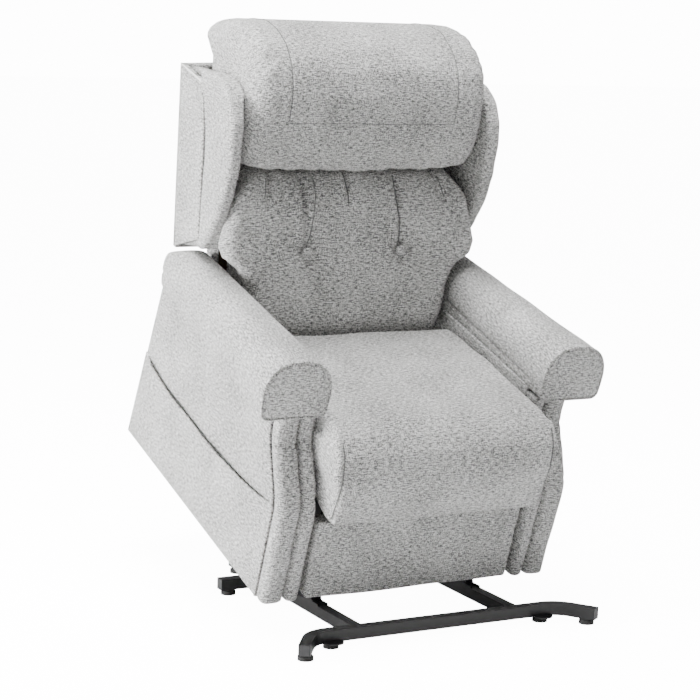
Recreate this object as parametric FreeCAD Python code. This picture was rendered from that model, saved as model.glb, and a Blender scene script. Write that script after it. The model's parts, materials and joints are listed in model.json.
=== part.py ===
"""Lift recliner chair: a wing-back riser chair on a low steel floor base, in its raised and tilted position.

Units are millimetres.  Row frame: +X is the sitter's left, -Y is the front, +Z is up, and the floor is Z = 0.
The chair body is drawn in a chair frame, whose origin is the bottom front edge of the arms, and is then
tilted and lifted onto the base.  The two recline drives, the legrest slides and the lift linkage are all
drawn in the pose that the chair has when it is part raised.
"""
import FreeCAD, Part
import math
import os

V = FreeCAD.Vector

# ---------------------------------------------------------------- driving dimensions
row_shift_y = -88.5        # moves the whole chair so that the origin is under its middle
chair_tilt = 17.0          # forward tilt of the chair body in the drawn pose, degrees
corner_y = -167.0          # bottom front edge of the arms in the drawn pose, before row_shift_y
corner_z = 63.0

# floor base
tube = 25.0                # square tube of the floor base
tube_wall = 2.0
foot_height = 12.0
foot_radius = 16.5
front_bar_y = -307.5       # centreline of the front bar
front_bar_corner_x = 300.0
front_leg_angle = 55.0     # how far the front bar's ends bend forwards, degrees
front_leg_end_y = -385.0
front_bend_radius = 70.0
inner_foot_x = 256.0
rear_bar_y = 122.5
rear_bar_half = 308.0
rail_x = 191.0
rail_end_y = 300.0

# lift linkage
pin_radius = 5.0
pin_play = 0.06            # radial running clearance of every pivot
press_gap = 0.03           # radial gap of a pin in the plate that holds it
lift_pivot = (-95.0, 72.9)         # lift arm pivot on the base, Y and Z
seat_pivot = (420.0, 120.0)        # lift arm pivot on the chassis, in the chair frame
arm_thick = 16.0
arm_height = 30.0
bracket_plate = 4.0
bracket_reach = 14.0
arm_tube_share = 0.16      # where the cross tube joins the lift arms, from the base pivot
cross_tube_radius = 10.0
gusset_front = -150.0      # the lift brackets' low front end
gusset_height = 41.0

# chassis, in the chair frame
side_plate_x = 203.0
side_plate_thick = 4.0
side_plate_span = (60.0, 560.0)
side_plate_low = 95.0
deck_z = 225.0             # underside of the wooden seat deck
deck_height = 40.0
deck_half = 240.0
deck_span = (25.0, 440.0)
deck_rail = 45.0
front_tube = (110.0, 190.0)
rear_tube = (540.0, 120.0)

# drives
drive_tube_radius = 17.0
drive_rod_radius = 8.0
drive_x_lift = -45.0
drive_x_back = 55.0
drive_x_leg = 112.0
lift_drive_base = (290.0, 62.0)    # lift drive pivot on the base, Y and Z
lift_drive_tube = 275.0
lift_rod_start = 178.0
lift_eye_play = 12.5
back_drive_base = (175.0, 85.0)    # recline drive pivot, in the chair frame
crank_pin = (632.0, 190.0)         # lower end of the backrest crank, in the chair frame
back_drive_tube = 260.0
back_rod_start = 190.0
back_eye_play = 10.0
motor_radius = 24.0
motor_length = 95.0

# legrest
slide_angle = 3.0          # the slides rise towards the front
slide_x = 150.0
slide_bar = 20.0
slide_play = 0.7
slide_wall = 2.5
leg_pivot = (42.0, 118.0)
channel_span = (90.0, 410.0)
leg_half = 250.0
leg_board_span = (12.0, 30.0)
leg_board_low = 8.0
leg_board_high = 186.0
leg_pad_front = -10.0

# arms, in the chair frame
arm_outer_x = 350.0
arm_inner_x = 262.0
panel = 12.0
arm_front_profile = [(0.0, 0.0), (-10.0, 235.0), (58.0, 355.0), (58.0, 421.0)]
arm_rear_bottom = (770.0, 0.0)
arm_rear_top = (684.0, 495.0)
pad_centre_x = 334.5
pad_half = 75.5
pad_half_rear = 50.0
pad_low = 422.0
pad_top = 550.0
pad_span = (24.0, 676.0)
pad_rear_reach = 86.0      # how near the arm top may come to the sweep of the wings
front_pad_depth = 26.0
pocket_depth = 7.0         # room inside the side pocket
pocket_thick = 5.0

# seat, in the chair frame
seat_half = 257.0
seat_top = 418.0
seat_rear = 412.0
seat_front = -80.0
seat_ear = 282.0           # half width of the front roll above the arm fronts
seat_ear_rear = -16.0
roll_low = 216.0
roll_rear = 8.0

# backrest, in the chair frame
back_lean = 14.0           # degrees from the chair frame's vertical
back_hinge = (652.0, 425.0)
back_foot = (700.0, 466.0)         # a point of the rear face's line
back_rear_top = 985.0
wing_x = 335.0
wing_thick = 50.0
wing_panel = 14.0
wing_foot = [(579.0, 575.0), (697.0, 508.0)]   # the lower edge of the wing panels
wing_seam = [(579.0, 575.0), (671.0, 890.0)]
wing_crest = [(553.0, 562.0), (501.0, 662.0), (479.0, 747.0), (481.0, 826.0), (495.0, 879.0),
              (540.0, 930.0), (600.0, 956.0), (668.0, 950.0)]
head_half = 284.0
button_x = 118.0
button_z = 586.0
button_radius = 13.0

half_tube = tube / 2
tube_low = foot_height
tube_high = foot_height + tube
tube_mid = foot_height + half_tube


# ---------------------------------------------------------------- helpers
def block(x0, x1, y0, y1, z0, z1):
    """A box between two corners."""
    return Part.makeBox(x1 - x0, y1 - y0, z1 - z0, V(x0, y0, z0))


def rod(start, end, radius, bore=0.0):
    """A round bar or tube from one point to another."""
    a, b = V(*start), V(*end)
    length = (b - a).Length
    bar = Part.makeCylinder(radius, length, a, b - a)
    if bore:
        bar = bar.cut(Part.makeCylinder(bore, length + 2, a - (b - a).normalize(), b - a))
    return bar


def xrod(x0, x1, y, z, radius, bore=0.0):
    """A round bar or tube along X."""
    return rod((x0, y, z), (x1, y, z), radius, bore)


def side_face(points):
    """A flat face in the YZ plane from its (y, z) corners."""
    loop = [V(0, y, z) for y, z in points]
    return Part.Face(Part.makePolygon(loop + loop[:1]))


def prism(points, x0, x1):
    """A side outline of straight edges, extruded from x0 to x1."""
    face = side_face(points)
    face.translate(V(x0, 0, 0))
    return face.extrude(V(x1 - x0, 0, 0))


def curved_prism(spline, straight, x0, x1):
    """A side outline with one smooth curve through `spline`, closed by straight edges through `straight`."""
    curve = Part.BSplineCurve()
    curve.interpolate([V(x0, y, z) for y, z in spline])
    ends = [V(x0, *spline[-1])] + [V(x0, y, z) for y, z in straight] + [V(x0, *spline[0])]
    edges = [curve.toShape()] + [Part.makeLine(a, b) for a, b in zip(ends, ends[1:])]
    return Part.Face(Part.Wire(edges)).extrude(V(x1 - x0, 0, 0))


def mirrored(shape):
    """The same piece on the other side of the chair."""
    return shape.mirror(V(0, 0, 0), V(1, 0, 0))


def link(x0, x1, a, b, height, holes):
    """A flat bar with round ends between two (y, z) pivots, with a hole at each."""
    dy, dz = b[0] - a[0], b[1] - a[1]
    length = math.hypot(dy, dz)
    bar = block(x0, x1, 0, length, -height / 2, height / 2)
    for along in (0.0, length):
        bar = bar.fuse(xrod(x0, x1, along, 0, height / 2))
    for along, hole in zip((0.0, length), holes):
        if hole:
            bar = bar.cut(xrod(x0 - 1, x1 + 1, along, 0, hole))
    bar.rotate(V(0, 0, 0), V(1, 0, 0), math.degrees(math.atan2(dz, dy)))
    bar.translate(V(0, a[0], a[1]))
    return bar.removeSplitter()


def rounded(shape, radius, test):
    """Fillets the edges that pass the test, or keeps the plain shape where the fillet can't be made."""
    edges = [e for e in shape.Edges if test(e)]
    return shape.makeFillet(radius, edges) if edges else shape


def along_x(edge):
    """True for an edge that runs along X."""
    a, b = edge.Vertexes[0].Point, edge.Vertexes[-1].Point
    return abs(b.y - a.y) < 1e-6 and abs(b.z - a.z) < 1e-6 and abs(b.x - a.x) > 1


def along_y(edge):
    """True for an edge that runs along Y."""
    a, b = edge.Vertexes[0].Point, edge.Vertexes[-1].Point
    return abs(b.x - a.x) < 1e-6 and abs(b.z - a.z) < 1e-6 and abs(b.y - a.y) > 1


def seat_point(point):
    """A chair frame (y, z) as (y, z) before the row shift, in the drawn pose."""
    c, s = math.cos(math.radians(chair_tilt)), math.sin(math.radians(chair_tilt))
    return corner_y + point[0] * c - point[1] * s, corner_z + point[0] * s + point[1] * c


def lean_y(z, offset=0.0):
    """Y of the backrest's rear face line at a height, moved forwards by offset."""
    return back_foot[0] + (z - back_foot[1]) * math.tan(math.radians(back_lean)) - offset


def split(shape, *regions):
    """A frame as separate rails: the parts of it that lie inside each region."""
    return [shape.common(region) for region in regions]


nodes = {}


def add(name, *solids, chair=False):
    """Keeps solids as one node, placed in the row frame."""
    whole = Part.makeCompound(list(solids)) if len(solids) > 1 else solids[0].copy()
    if chair:
        whole.rotate(V(0, 0, 0), V(1, 0, 0), chair_tilt)
        whole.translate(V(0, corner_y, corner_z))
    whole.translate(V(0, row_shift_y, 0))
    nodes[name] = whole


# ---------------------------------------------------------------- floor base
def square_tube(x0, x1, y0, y1):
    """A straight base tube along its longer side, hollow from end to end."""
    outer = block(x0, x1, y0, y1, tube_low, tube_high)
    w = tube_wall
    if x1 - x0 > y1 - y0:
        core = block(x0 - 1, x1 + 1, y0 + w, y1 - w, tube_low + w, tube_high - w)
    else:
        core = block(x0 + w, x1 - w, y0 - 1, y1 + 1, tube_low + w, tube_high - w)
    return outer.cut(core)


def bar_section(inset):
    """The front bar's square section, standing across its straight run."""
    h = half_tube - inset
    corners = [V(0, front_bar_y - h, tube_mid - h), V(0, front_bar_y + h, tube_mid - h),
               V(0, front_bar_y + h, tube_mid + h), V(0, front_bar_y - h, tube_mid + h)]
    return Part.Face(Part.makePolygon(corners + corners[:1]))


def front_bar_solid(inset):
    """The bent front bar as a solid: half of it is a straight run, a bend and a leg, then its mirror image."""
    turn = math.radians(front_leg_angle)
    straight = front_bar_corner_x - front_bend_radius * math.tan(turn / 2)
    section = bar_section(inset)
    run = section.extrude(V(straight, 0, 0))
    end = section.copy()
    end.translate(V(straight, 0, 0))
    centre = V(straight, front_bar_y - front_bend_radius, tube_mid)
    bend = end.revolve(centre, V(0, 0, 1), -front_leg_angle)
    leg_face = end.copy()
    leg_face.rotate(centre, V(0, 0, 1), -front_leg_angle)
    start_y = front_bar_y - front_bend_radius * (1 - math.cos(turn))
    leg = (start_y - front_leg_end_y) / math.sin(turn)
    leg_solid = leg_face.extrude(V(math.cos(turn) * leg, -math.sin(turn) * leg, 0))
    half = run.fuse([bend, leg_solid])
    return half.fuse(mirrored(half)).removeSplitter()


turn = math.radians(front_leg_angle)
front_leg_end_x = front_bar_corner_x + (front_bar_y - front_leg_end_y) / math.tan(turn)
foot_inset = 22.0
outer_foot = (front_leg_end_x - math.cos(turn) * foot_inset, front_leg_end_y + math.sin(turn) * foot_inset)


def base_parts():
    """Tubes, feet, brackets and pins that stay on the floor."""
    add("base_front_bar", front_bar_solid(0.0).cut(front_bar_solid(tube_wall)))
    add("base_rear_bar", square_tube(-rear_bar_half, rear_bar_half, rear_bar_y - half_tube, rear_bar_y + half_tube))
    rails = []
    for x in (-rail_x, rail_x):
        rails.append(square_tube(x - half_tube, x + half_tube, front_bar_y + half_tube, rear_bar_y - half_tube))
        rails.append(square_tube(x - half_tube, x + half_tube, rear_bar_y + half_tube, rail_end_y))
    add("base_rails", *rails)
    tab = Part.makeCylinder(24, 3, V(0, 0, 0)).cut(block(-30, 30, 0, 30, -1, 5))
    tabs = []
    for x in (-inner_foot_x, inner_foot_x):
        piece = tab.copy()
        piece.translate(V(x, front_bar_y - half_tube, tube_low))
        tabs.append(piece.cut(front_bar_solid(0.0)))
    add("foot_tabs", *tabs)
    foot_spots = [(s * inner_foot_x, front_bar_y - 6) for s in (-1, 1)]
    foot_spots += [(s * outer_foot[0], outer_foot[1]) for s in (-1, 1)]
    foot_spots += [(s * rail_x, rail_end_y - foot_inset) for s in (-1, 1)]
    foot_spots += [(s * (rear_bar_half - foot_inset), rear_bar_y) for s in (-1, 1)]
    add("feet", *[foot(x, y) for x, y in foot_spots])
    plug = half_tube - tube_wall - 0.05
    caps = []
    for s in (-1, 1):
        x = s * rear_bar_half
        caps.append(block(x - 12 if s > 0 else x, x if s > 0 else x + 12, rear_bar_y - plug, rear_bar_y + plug,
                          tube_mid - plug, tube_mid + plug))
        caps.append(block(s * rail_x - plug, s * rail_x + plug, rail_end_y - 12, rail_end_y,
                          tube_mid - plug, tube_mid + plug))
        cap = block(-12, 0, -plug, plug, -plug, plug)
        cap.rotate(V(0, 0, 0), V(0, 0, 1), -front_leg_angle if s > 0 else 180 + front_leg_angle)
        cap.translate(V(s * front_leg_end_x, front_leg_end_y, tube_mid))
        caps.append(cap)
    add("tube_end_plugs", *caps)
    plates, pins = lift_brackets()
    ear_gap = 12.0
    for x in (drive_x_lift - ear_gap - 4, drive_x_lift + ear_gap):
        ear = prism([(rail_end_y - 40, tube_high), (rail_end_y, tube_high), (rail_end_y, lift_drive_base[1] + 8),
                     (rail_end_y - 22, lift_drive_base[1] + 8)], x, x + 4)
        plates.append(ear.cut(xrod(x - 1, x + 5, *lift_drive_base, pin_radius)))
    cross = block(-rail_x + half_tube, rail_x - half_tube, rail_end_y - 40, rail_end_y, tube_high - 6, tube_high)
    add("drive_cross_bar", cross)
    add("base_brackets", *plates)
    pins.append(xrod(drive_x_lift - ear_gap - 6, drive_x_lift + ear_gap + 6, *lift_drive_base,
                     pin_radius - press_gap))
    add("base_pins", *pins)


def foot(x, y):
    """A round rubber foot with a wider lower rim."""
    base = Part.makeCylinder(foot_radius, foot_height - 4, V(x, y, 0))
    neck = Part.makeCylinder(foot_radius - 3, 4, V(x, y, foot_height - 4))
    return base.fuse(neck).removeSplitter()


def lift_brackets():
    """A pair of upright plates on each rail, with a low gusset towards the front, and the pins through them."""
    play = 0.5
    plates, pins = [], []
    y, z = lift_pivot
    reach = bracket_reach
    for s in (-1, 1):
        for inner in (-1, 1):
            near = arm_thick / 2 + play
            x0, x1 = sorted((s * rail_x + inner * near, s * rail_x + inner * (near + bracket_plate)))
            plate = prism([(gusset_front, tube_high), (gusset_front, gusset_height), (y - reach - 12, gusset_height),
                           (y - reach, z), (y + reach, z), (y + reach, tube_high)], x0, x1)
            plate = plate.fuse(xrod(x0, x1, y, z, reach)).removeSplitter()
            plates.append(plate.cut(xrod(x0 - 1, x1 + 1, y, z, pin_radius)))
        reach_x = arm_thick / 2 + play + bracket_plate
        pins.append(xrod(s * rail_x - reach_x, s * rail_x + reach_x, y, z, pin_radius - press_gap))
    return plates, pins


# ---------------------------------------------------------------- lift linkage
def lift_parts():
    """Lift arms with their cross tube."""
    top = seat_point(seat_pivot)
    hole = pin_radius + pin_play
    for side, x in (("right", -rail_x), ("left", rail_x)):
        add("lift_arm_" + side, link(x - arm_thick / 2, x + arm_thick / 2, lift_pivot, top, arm_height, (hole, hole)))
    t = arm_tube_share
    y = lift_pivot[0] + (top[0] - lift_pivot[0]) * t
    z = lift_pivot[1] + (top[1] - lift_pivot[1]) * t
    inner = rail_x - arm_thick / 2
    add("lift_arm_cross_tube", xrod(-inner, inner, y, z, cross_tube_radius, cross_tube_radius - 2))


# ---------------------------------------------------------------- seat chassis, chair frame
def chassis_parts():
    """Steel side plates, cross tubes, slide channels and pivots that carry the seat and arms."""
    y0, y1 = side_plate_span
    plate = block(side_plate_x, side_plate_x + side_plate_thick, y0, y1, side_plate_low, deck_z - 4)
    flange = block(side_plate_x, deck_half - 4, y0, deck_span[1], deck_z - 4, deck_z)
    body = plate.fuse(flange).removeSplitter().cut(
        xrod(side_plate_x - 1, side_plate_x + 5, *seat_pivot, pin_radius))
    add("chassis_sides", body, mirrored(body), chair=True)
    tubes = [xrod(-side_plate_x, side_plate_x, *spot, cross_tube_radius, cross_tube_radius - 2)
             for spot in (front_tube, rear_tube)]
    add("chassis_tubes", *tubes, chair=True)
    pin = xrod(rail_x - arm_thick / 2 - 3, side_plate_x + side_plate_thick, *seat_pivot, pin_radius - press_gap)
    drive_pin = xrod(drive_x_back - 18, drive_x_back + 18, *back_drive_base, pin_radius - press_gap)
    add("chassis_pins", pin, mirrored(pin), drive_pin, chair=True)
    lugs = []
    for x in (drive_x_back - 16, drive_x_back + 12):
        plate = prism([(front_tube[0] + cross_tube_radius, 206), (front_tube[0] + 34, 206), (back_drive_base[0] + 14, 92),
                       (back_drive_base[0] + 14, 70), (back_drive_base[0] - 14, 70),
                       (front_tube[0] + cross_tube_radius, 150)], x, x + 4)
        lugs.append(plate.cut(xrod(x - 1, x + 5, *back_drive_base, pin_radius)))
    bridge = block(drive_x_back - 16, drive_x_back + 16, front_tube[0] + 12, front_tube[0] + 34, 206, 210)
    add("recline_drive_bracket", lugs[0].fuse([lugs[1], bridge]).removeSplitter(), chair=True)
    deck_parts()


def deck_parts():
    """The wooden seat deck, its springs and the board under the seat cushion's front roll."""
    y0, y1 = deck_span
    top = deck_z + deck_height
    outer = block(-deck_half, deck_half, y0, y1, deck_z, top)
    inner = block(-deck_half + deck_rail, deck_half - deck_rail, y0 + deck_rail, y1 - deck_rail, deck_z - 1, top + 1)
    big = 2000.0
    add("seat_deck", *split(outer.cut(inner), block(-big, big, -big, y0 + deck_rail, 0, big),
                            block(-big, big, y1 - deck_rail, big, 0, big),
                            block(-big, 0, y0 + deck_rail, y1 - deck_rail, 0, big),
                            block(0, big, y0 + deck_rail, y1 - deck_rail, 0, big)), chair=True)
    springs = []
    wire = 1.9
    for k in range(5):
        x = -140 + 70 * k
        springs.append(spring_wire(x, y0 + deck_rail, y1 - deck_rail, deck_z + deck_height / 2, wire))
    add("seat_springs", *springs, chair=True)


def spring_wire(x, y0, y1, z, radius):
    """A zigzag spring: straight bars across, joined by half rings, lying between two deck rails."""
    pitch = (y1 - y0) / 10.0
    half = 18.0
    bend = pitch / 2
    pieces = []
    for k in range(10):
        y = y0 + pitch * (k + 0.5)
        pieces.append(rod((x - half, y, z), (x + half, y, z), radius))
        if k < 9:
            side = 1 if k % 2 == 0 else -1
            ring = Part.makeTorus(bend, radius, V(x + side * half, y + bend, z), V(0, 0, 1))
            keep = block(x + side * half if side > 0 else x - half - bend - 5,
                         x + half + bend + 5 if side > 0 else x - half, y - 5, y + pitch + 5, z - 5, z + 5)
            pieces.append(ring.common(keep))
    for y, end in ((y0, y0 + pitch / 2), (y1 - pitch / 2, y1)):
        pieces.append(rod((x, y, z), (x, end, z), radius))
    return pieces[0].fuse(pieces[1:])


# ---------------------------------------------------------------- drives
def drive(name, x, start, end, lengths, eye_hole, side, chair):
    """A linear drive: a motor and gearbox at the pivot end, a tube, and a rod with an eye at the far end."""
    tube_length, rod_start = lengths
    dy, dz = end[0] - start[0], end[1] - start[1]
    length = math.hypot(dy, dz)
    angle = math.degrees(math.atan2(dz, dy))
    tail = 10.0
    eye_outer = eye_hole + 5
    bore = drive_rod_radius + 0.5

    def placed(shape):
        shape.rotate(V(0, 0, 0), V(1, 0, 0), angle)
        shape.translate(V(x, start[0], start[1]))
        return shape
    lug = link(-10, 10, (0, 0), (30, 0), 26, (pin_radius + pin_play, 0)).common(block(-10, 10, -20, 30, -20, 20))
    box = block(-22, 22, 30, 78, -26, 26)
    box = box.makeFillet(5, box.Edges)
    motor = rod((0, 80, side * 45), (0, 80 + motor_length, side * 45), motor_radius)
    neck = block(-14, 14, 40, 80, *sorted((side * 20, side * 62)))
    neck = neck.makeFillet(4, [e for e in neck.Edges if along_y(e)])
    add(name + "_motor", placed(lug.fuse([box, neck, motor]).removeSplitter()), chair=chair)
    outer = rod((0, 78, 0), (0, tube_length, 0), drive_tube_radius - 1)
    outer = outer.cut(rod((0, 84, 0), (0, tube_length + 1, 0), bore))
    add(name + "_tube", placed(outer), chair=chair)
    shaft = rod((0, rod_start, 0), (0, length - eye_hole - 1, 0), drive_rod_radius)
    eye = xrod(-tail, tail, length, 0, eye_outer)
    rod_solid = shaft.fuse(eye).cut(xrod(-tail - 1, tail + 1, length, 0, eye_hole))
    add(name + "_rod", placed(rod_solid.removeSplitter()), chair=chair)


def drive_parts():
    """The lift drive on the base and the recline drive under the seat."""
    drive("lift_drive", drive_x_lift, lift_drive_base, seat_point(front_tube), (lift_drive_tube, lift_rod_start),
          cross_tube_radius + lift_eye_play, 1, False)
    drive("recline_drive", drive_x_back, back_drive_base, crank_pin, (back_drive_tube, back_rod_start),
          pin_radius + back_eye_play, 1, True)


# ---------------------------------------------------------------- legrest, chair frame
def sloped(shape):
    """Tilts a piece drawn level along Y from the legrest pivot so that it follows the slides."""
    shape.rotate(V(0, 0, 0), V(1, 0, 0), -slide_angle)
    shape.translate(V(0, leg_pivot[0], leg_pivot[1]))
    return shape


def legrest_parts():
    """Slide channels on the chassis, the sliding bars, and the swinging legrest board and pad."""
    h = slide_bar / 2
    clear = h + slide_play
    wall = clear + slide_wall
    a, b = channel_span[0] - leg_pivot[0], channel_span[1] - leg_pivot[0]
    channels, straps = [], []
    for s in (-1, 1):
        x = s * slide_x
        outer = block(x - wall, x + wall, a, b, -wall, wall)
        channels.append(sloped(outer.cut(block(x - clear, x + clear, a - 1, b + 1, -clear, clear))))
        rear_z = leg_pivot[1] - math.tan(math.radians(slide_angle)) * (channel_span[1] - 20 - leg_pivot[0])
        straps.append(block(x - 10, x + 10, channel_span[1] - 12, channel_span[1] - 6, rear_z + wall - 1.5, deck_z))
        inner, outer_x = sorted((s * (slide_x + wall), s * side_plate_x))
        straps.append(block(inner, outer_x, channel_span[0] + 6, channel_span[0] + 28, 106, 120))
    add("slide_channels", *[c.fuse([a1, b1]).removeSplitter()
                            for c, a1, b1 in zip(channels, straps[::2], straps[1::2])], chair=True)
    bar_length = 350.0
    bars = []
    for x in (-slide_x, slide_x):
        bar = block(x - h, x + h, 0, bar_length, -h, h).fuse(xrod(x - h, x + h, 0, 0, h))
        bar = bar.cut(xrod(x - h - 1, x + h + 1, 0, 0, 4 + pin_play)).removeSplitter()
        bars.append(sloped(bar))
    bars.append(sloped(xrod(-slide_x + h, slide_x - h, 22, 0, 8, 6)))
    add("slide_bars", *bars, chair=True)
    leg_rod = rod((drive_x_leg, 30, 0), (drive_x_leg, 340, 0), 5)
    add("legrest_drive_rod", sloped(leg_rod), chair=True)
    body = rod((drive_x_leg, a, 0), (drive_x_leg, b, 0), 14)
    body = body.cut(rod((drive_x_leg, a - 1, 0), (drive_x_leg, b - 12, 0), 6))
    arm_bar = block(drive_x_leg + 10, slide_x - wall, b - 50, b - 20, -5, 5)
    add("legrest_drive_tube", sloped(body.fuse(arm_bar).removeSplitter()), chair=True)
    board_y = leg_board_span
    add("legrest_board", block(-leg_half + 6, leg_half - 6, board_y[0], board_y[1], leg_board_low, leg_board_high),
        chair=True)
    pad = block(-leg_half, leg_half, leg_pad_front, board_y[0], leg_board_low - 4, leg_board_high + 6)
    pad = rounded(pad, 8, lambda e: abs(e.BoundBox.YMax - leg_pad_front) < 0.1)
    add("legrest_pad", pad, chair=True)
    plates, pins = [], []
    for s in (-1, 1):
        for off in (-1, 1):
            near, far = h + 0.8, h + 3.8
            x0, x1 = sorted((s * slide_x + off * near, s * slide_x + off * far))
            plate = block(x0, x1, board_y[1], leg_pivot[0], leg_pivot[1] - 14, leg_pivot[1] + 14)
            plate = plate.fuse(xrod(x0, x1, *leg_pivot, 10)).removeSplitter()
            plates.append(plate.cut(xrod(x0 - 1, x1 + 1, *leg_pivot, 4)))
        pins.append(xrod(s * slide_x - h - 3.8, s * slide_x + h + 3.8, *leg_pivot, 4 - press_gap))
    add("legrest_hinges", *plates, *pins, chair=True)


# ---------------------------------------------------------------- arms, chair frame
def arm_parts(side, s):
    """One arm: wooden frame, outer and inner covered panels, front flutes, rear strip and the padded top."""
    def put(name, shape):
        add(name + "_" + side, shape if s > 0 else mirrored(shape), chair=True)
    depth = front_pad_depth
    low_profile = arm_front_profile[:3] + [(arm_front_profile[3][0], pad_low - 1)]
    front = [(y + depth, z) for y, z in low_profile]
    rear_low, rear_high = arm_rear_bottom, (arm_rear_top[0] + 12, pad_low - 1)
    outline = front + [rear_high, rear_low]
    outer = prism(outline, arm_outer_x - panel, arm_outer_x)
    put("arm_outer_panel", rounded(outer, 16, lambda e: along_x(e) and e.BoundBox.YMax > rear_low[0] - 1))
    inner = prism(outline, arm_inner_x, arm_inner_x + panel)
    if s > 0:
        add("arm_inner_panels", inner, mirrored(inner), chair=True)
    back = [(y + depth, z) for y, z in low_profile]
    pad = prism(low_profile + back[::-1], arm_inner_x, arm_outer_x)
    put("arm_front_flutes", rounded(pad, 9, lambda e: not along_x(e) and e.BoundBox.YMin < 60
                                    and any(abs(v.Point.y - p[0]) < 0.01 and abs(v.Point.z - p[1]) < 0.01
                                            for v in e.Vertexes for p in low_profile)
                                    and all(any(abs(v.Point.y - p[0]) < 0.01 and abs(v.Point.z - p[1]) < 0.01
                                                for p in low_profile) for v in e.Vertexes)))
    x0, x1 = arm_inner_x + panel, arm_outer_x - panel
    frame = prism([(depth, 0), (rear_low[0] - 14, 0), (rear_high[0] - 14, pad_low - 1),
                   (front[2][0], pad_low - 1), front[2], (depth + 2, 235)], x0, x1)
    hole = prism([(depth + 62, 55), (rear_low[0] - 78, 55), (rear_high[0] - 70, pad_low - 55),
                  (front[2][0] + 45, pad_low - 55), (depth + 62, 240)], x0 - 1, x1 + 1)
    big = 2000.0
    low_cut, high_cut, middle = 55.0, pad_low - 55, rear_low[0] / 2
    rails = split(frame.cut(hole), block(0, big, -big, big, -big, low_cut), block(0, big, -big, big, high_cut, big),
                  block(0, big, -big, middle, low_cut, high_cut), block(0, big, middle, big, low_cut, high_cut))
    rails = [rail if s > 0 else mirrored(rail) for rail in rails]
    add("arm_frame_" + side, *rails, chair=True)
    put("arm_top_pad", top_pad())


def pad_section(y, half, low, top):
    """The D-shaped section of an arm's top: a flat underside and a round top."""
    shift = pad_half - half
    cx = pad_centre_x - shift * 0.62
    side = low + (top - low) * 0.42
    left, right = cx - half, cx + half
    corner = 12.0
    points = [V(left + corner, y, low), V(right - corner, y, low)]
    arcs = [Part.makeLine(points[0], points[1]),
            Part.Arc(points[1], V(right - corner * 0.3, y, low + corner * 0.3), V(right, y, low + corner)).toShape(),
            Part.makeLine(V(right, y, low + corner), V(right, y, side)),
            Part.Arc(V(right, y, side), V(cx, y, top), V(left, y, side)).toShape(),
            Part.makeLine(V(left, y, side), V(left, y, low + corner)),
            Part.Arc(V(left, y, low + corner), V(left + corner * 0.3, y, low + corner * 0.3), points[0]).toShape()]
    return Part.Wire(arcs)


def top_pad():
    """The padded arm top, which narrows towards the back."""
    y0, y1 = pad_span
    sections = [pad_section(y0, pad_half, pad_low, pad_top), pad_section(y1, pad_half_rear, pad_low, pad_top - 18)]
    pad = Part.makeLoft(sections, True, True)
    (ay, az), (by, bz) = wing_foot
    run = math.hypot(by - ay, bz - az)
    ny, nz = (az - bz) / run, (by - ay) / run
    hy, hz = back_hinge
    middle = (hy + ny * pad_rear_reach, hz + nz * pad_rear_reach)
    ty, tz = nz * 400, -ny * 400
    above = [(middle[0] - ty, middle[1] - tz), (middle[0] + ty, middle[1] + tz),
             (middle[0] + ty + ny * 300, middle[1] + tz + nz * 300),
             (middle[0] - ty + ny * 300, middle[1] - tz + nz * 300)]
    return pad.cut(prism(above, 0, 600))


def pocket():
    """The long pocket on the outside of the right arm: a second panel with a sagging top edge, closed round it."""
    y0, y1 = arm_front_profile[0][0] + front_pad_depth, arm_rear_bottom[0] - 34
    edge = [(y1 - 4, 233), (580, 214), (400, 207), (230, 208), (100, 215), (y0 - 8, 232)]
    low = 6.0
    x0, x1, x2 = arm_outer_x, arm_outer_x + pocket_depth, arm_outer_x + pocket_depth + pocket_thick
    shape = curved_prism(edge, [(y0, low), (y1 + 24, low)], x1, x2)
    hem = prism([(y0, low), (y1 + 24, low), (y1 + 22, low + 12), (y0, low + 12)], x0, x1)
    front = prism([(y0, low), (y0 + 12, low), (y0 + 4, 228), (y0 - 8, 229)], x0, x1)
    rear = prism([(y1 + 12, low), (y1 + 24, low), (y1 - 4, 230), (y1 - 16, 229)], x0, x1)
    return shape.fuse([hem, front, rear]).removeSplitter()


# ---------------------------------------------------------------- upholstery, chair frame
def seat_parts():
    """The seat cushion with its front roll, and the rear valance under the backrest."""
    outline = [(seat_front + 30, seat_top), (seat_rear, seat_top - 8), (seat_rear, deck_z + deck_height + 1),
               (roll_rear, deck_z + deck_height + 1), (roll_rear, roll_low), (seat_front + 28, roll_low),
               (seat_front, roll_low + 60), (seat_front, seat_top - 45)]
    ears = [(seat_front + 6, roll_low + 84), (seat_front + 6, seat_top - 20), (seat_ear_rear, seat_top - 20),
            (seat_ear_rear, roll_low + 84)]
    whole = prism(outline, -seat_half, seat_half).fuse(prism(ears, -seat_ear, seat_ear)).removeSplitter()
    add("seat_cushion", whole, chair=True)
    low, high = arm_rear_bottom, 300.0
    slope = (arm_rear_top[0] - low[0]) / arm_rear_top[1]
    strip = [(low[0] - 12, 4), (low[0], 4), (low[0] + slope * high, high), (low[0] - 12 + slope * high, high)]
    add("rear_valance", prism(strip, -arm_inner_x + 0.5, arm_inner_x - 0.5), chair=True)


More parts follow.
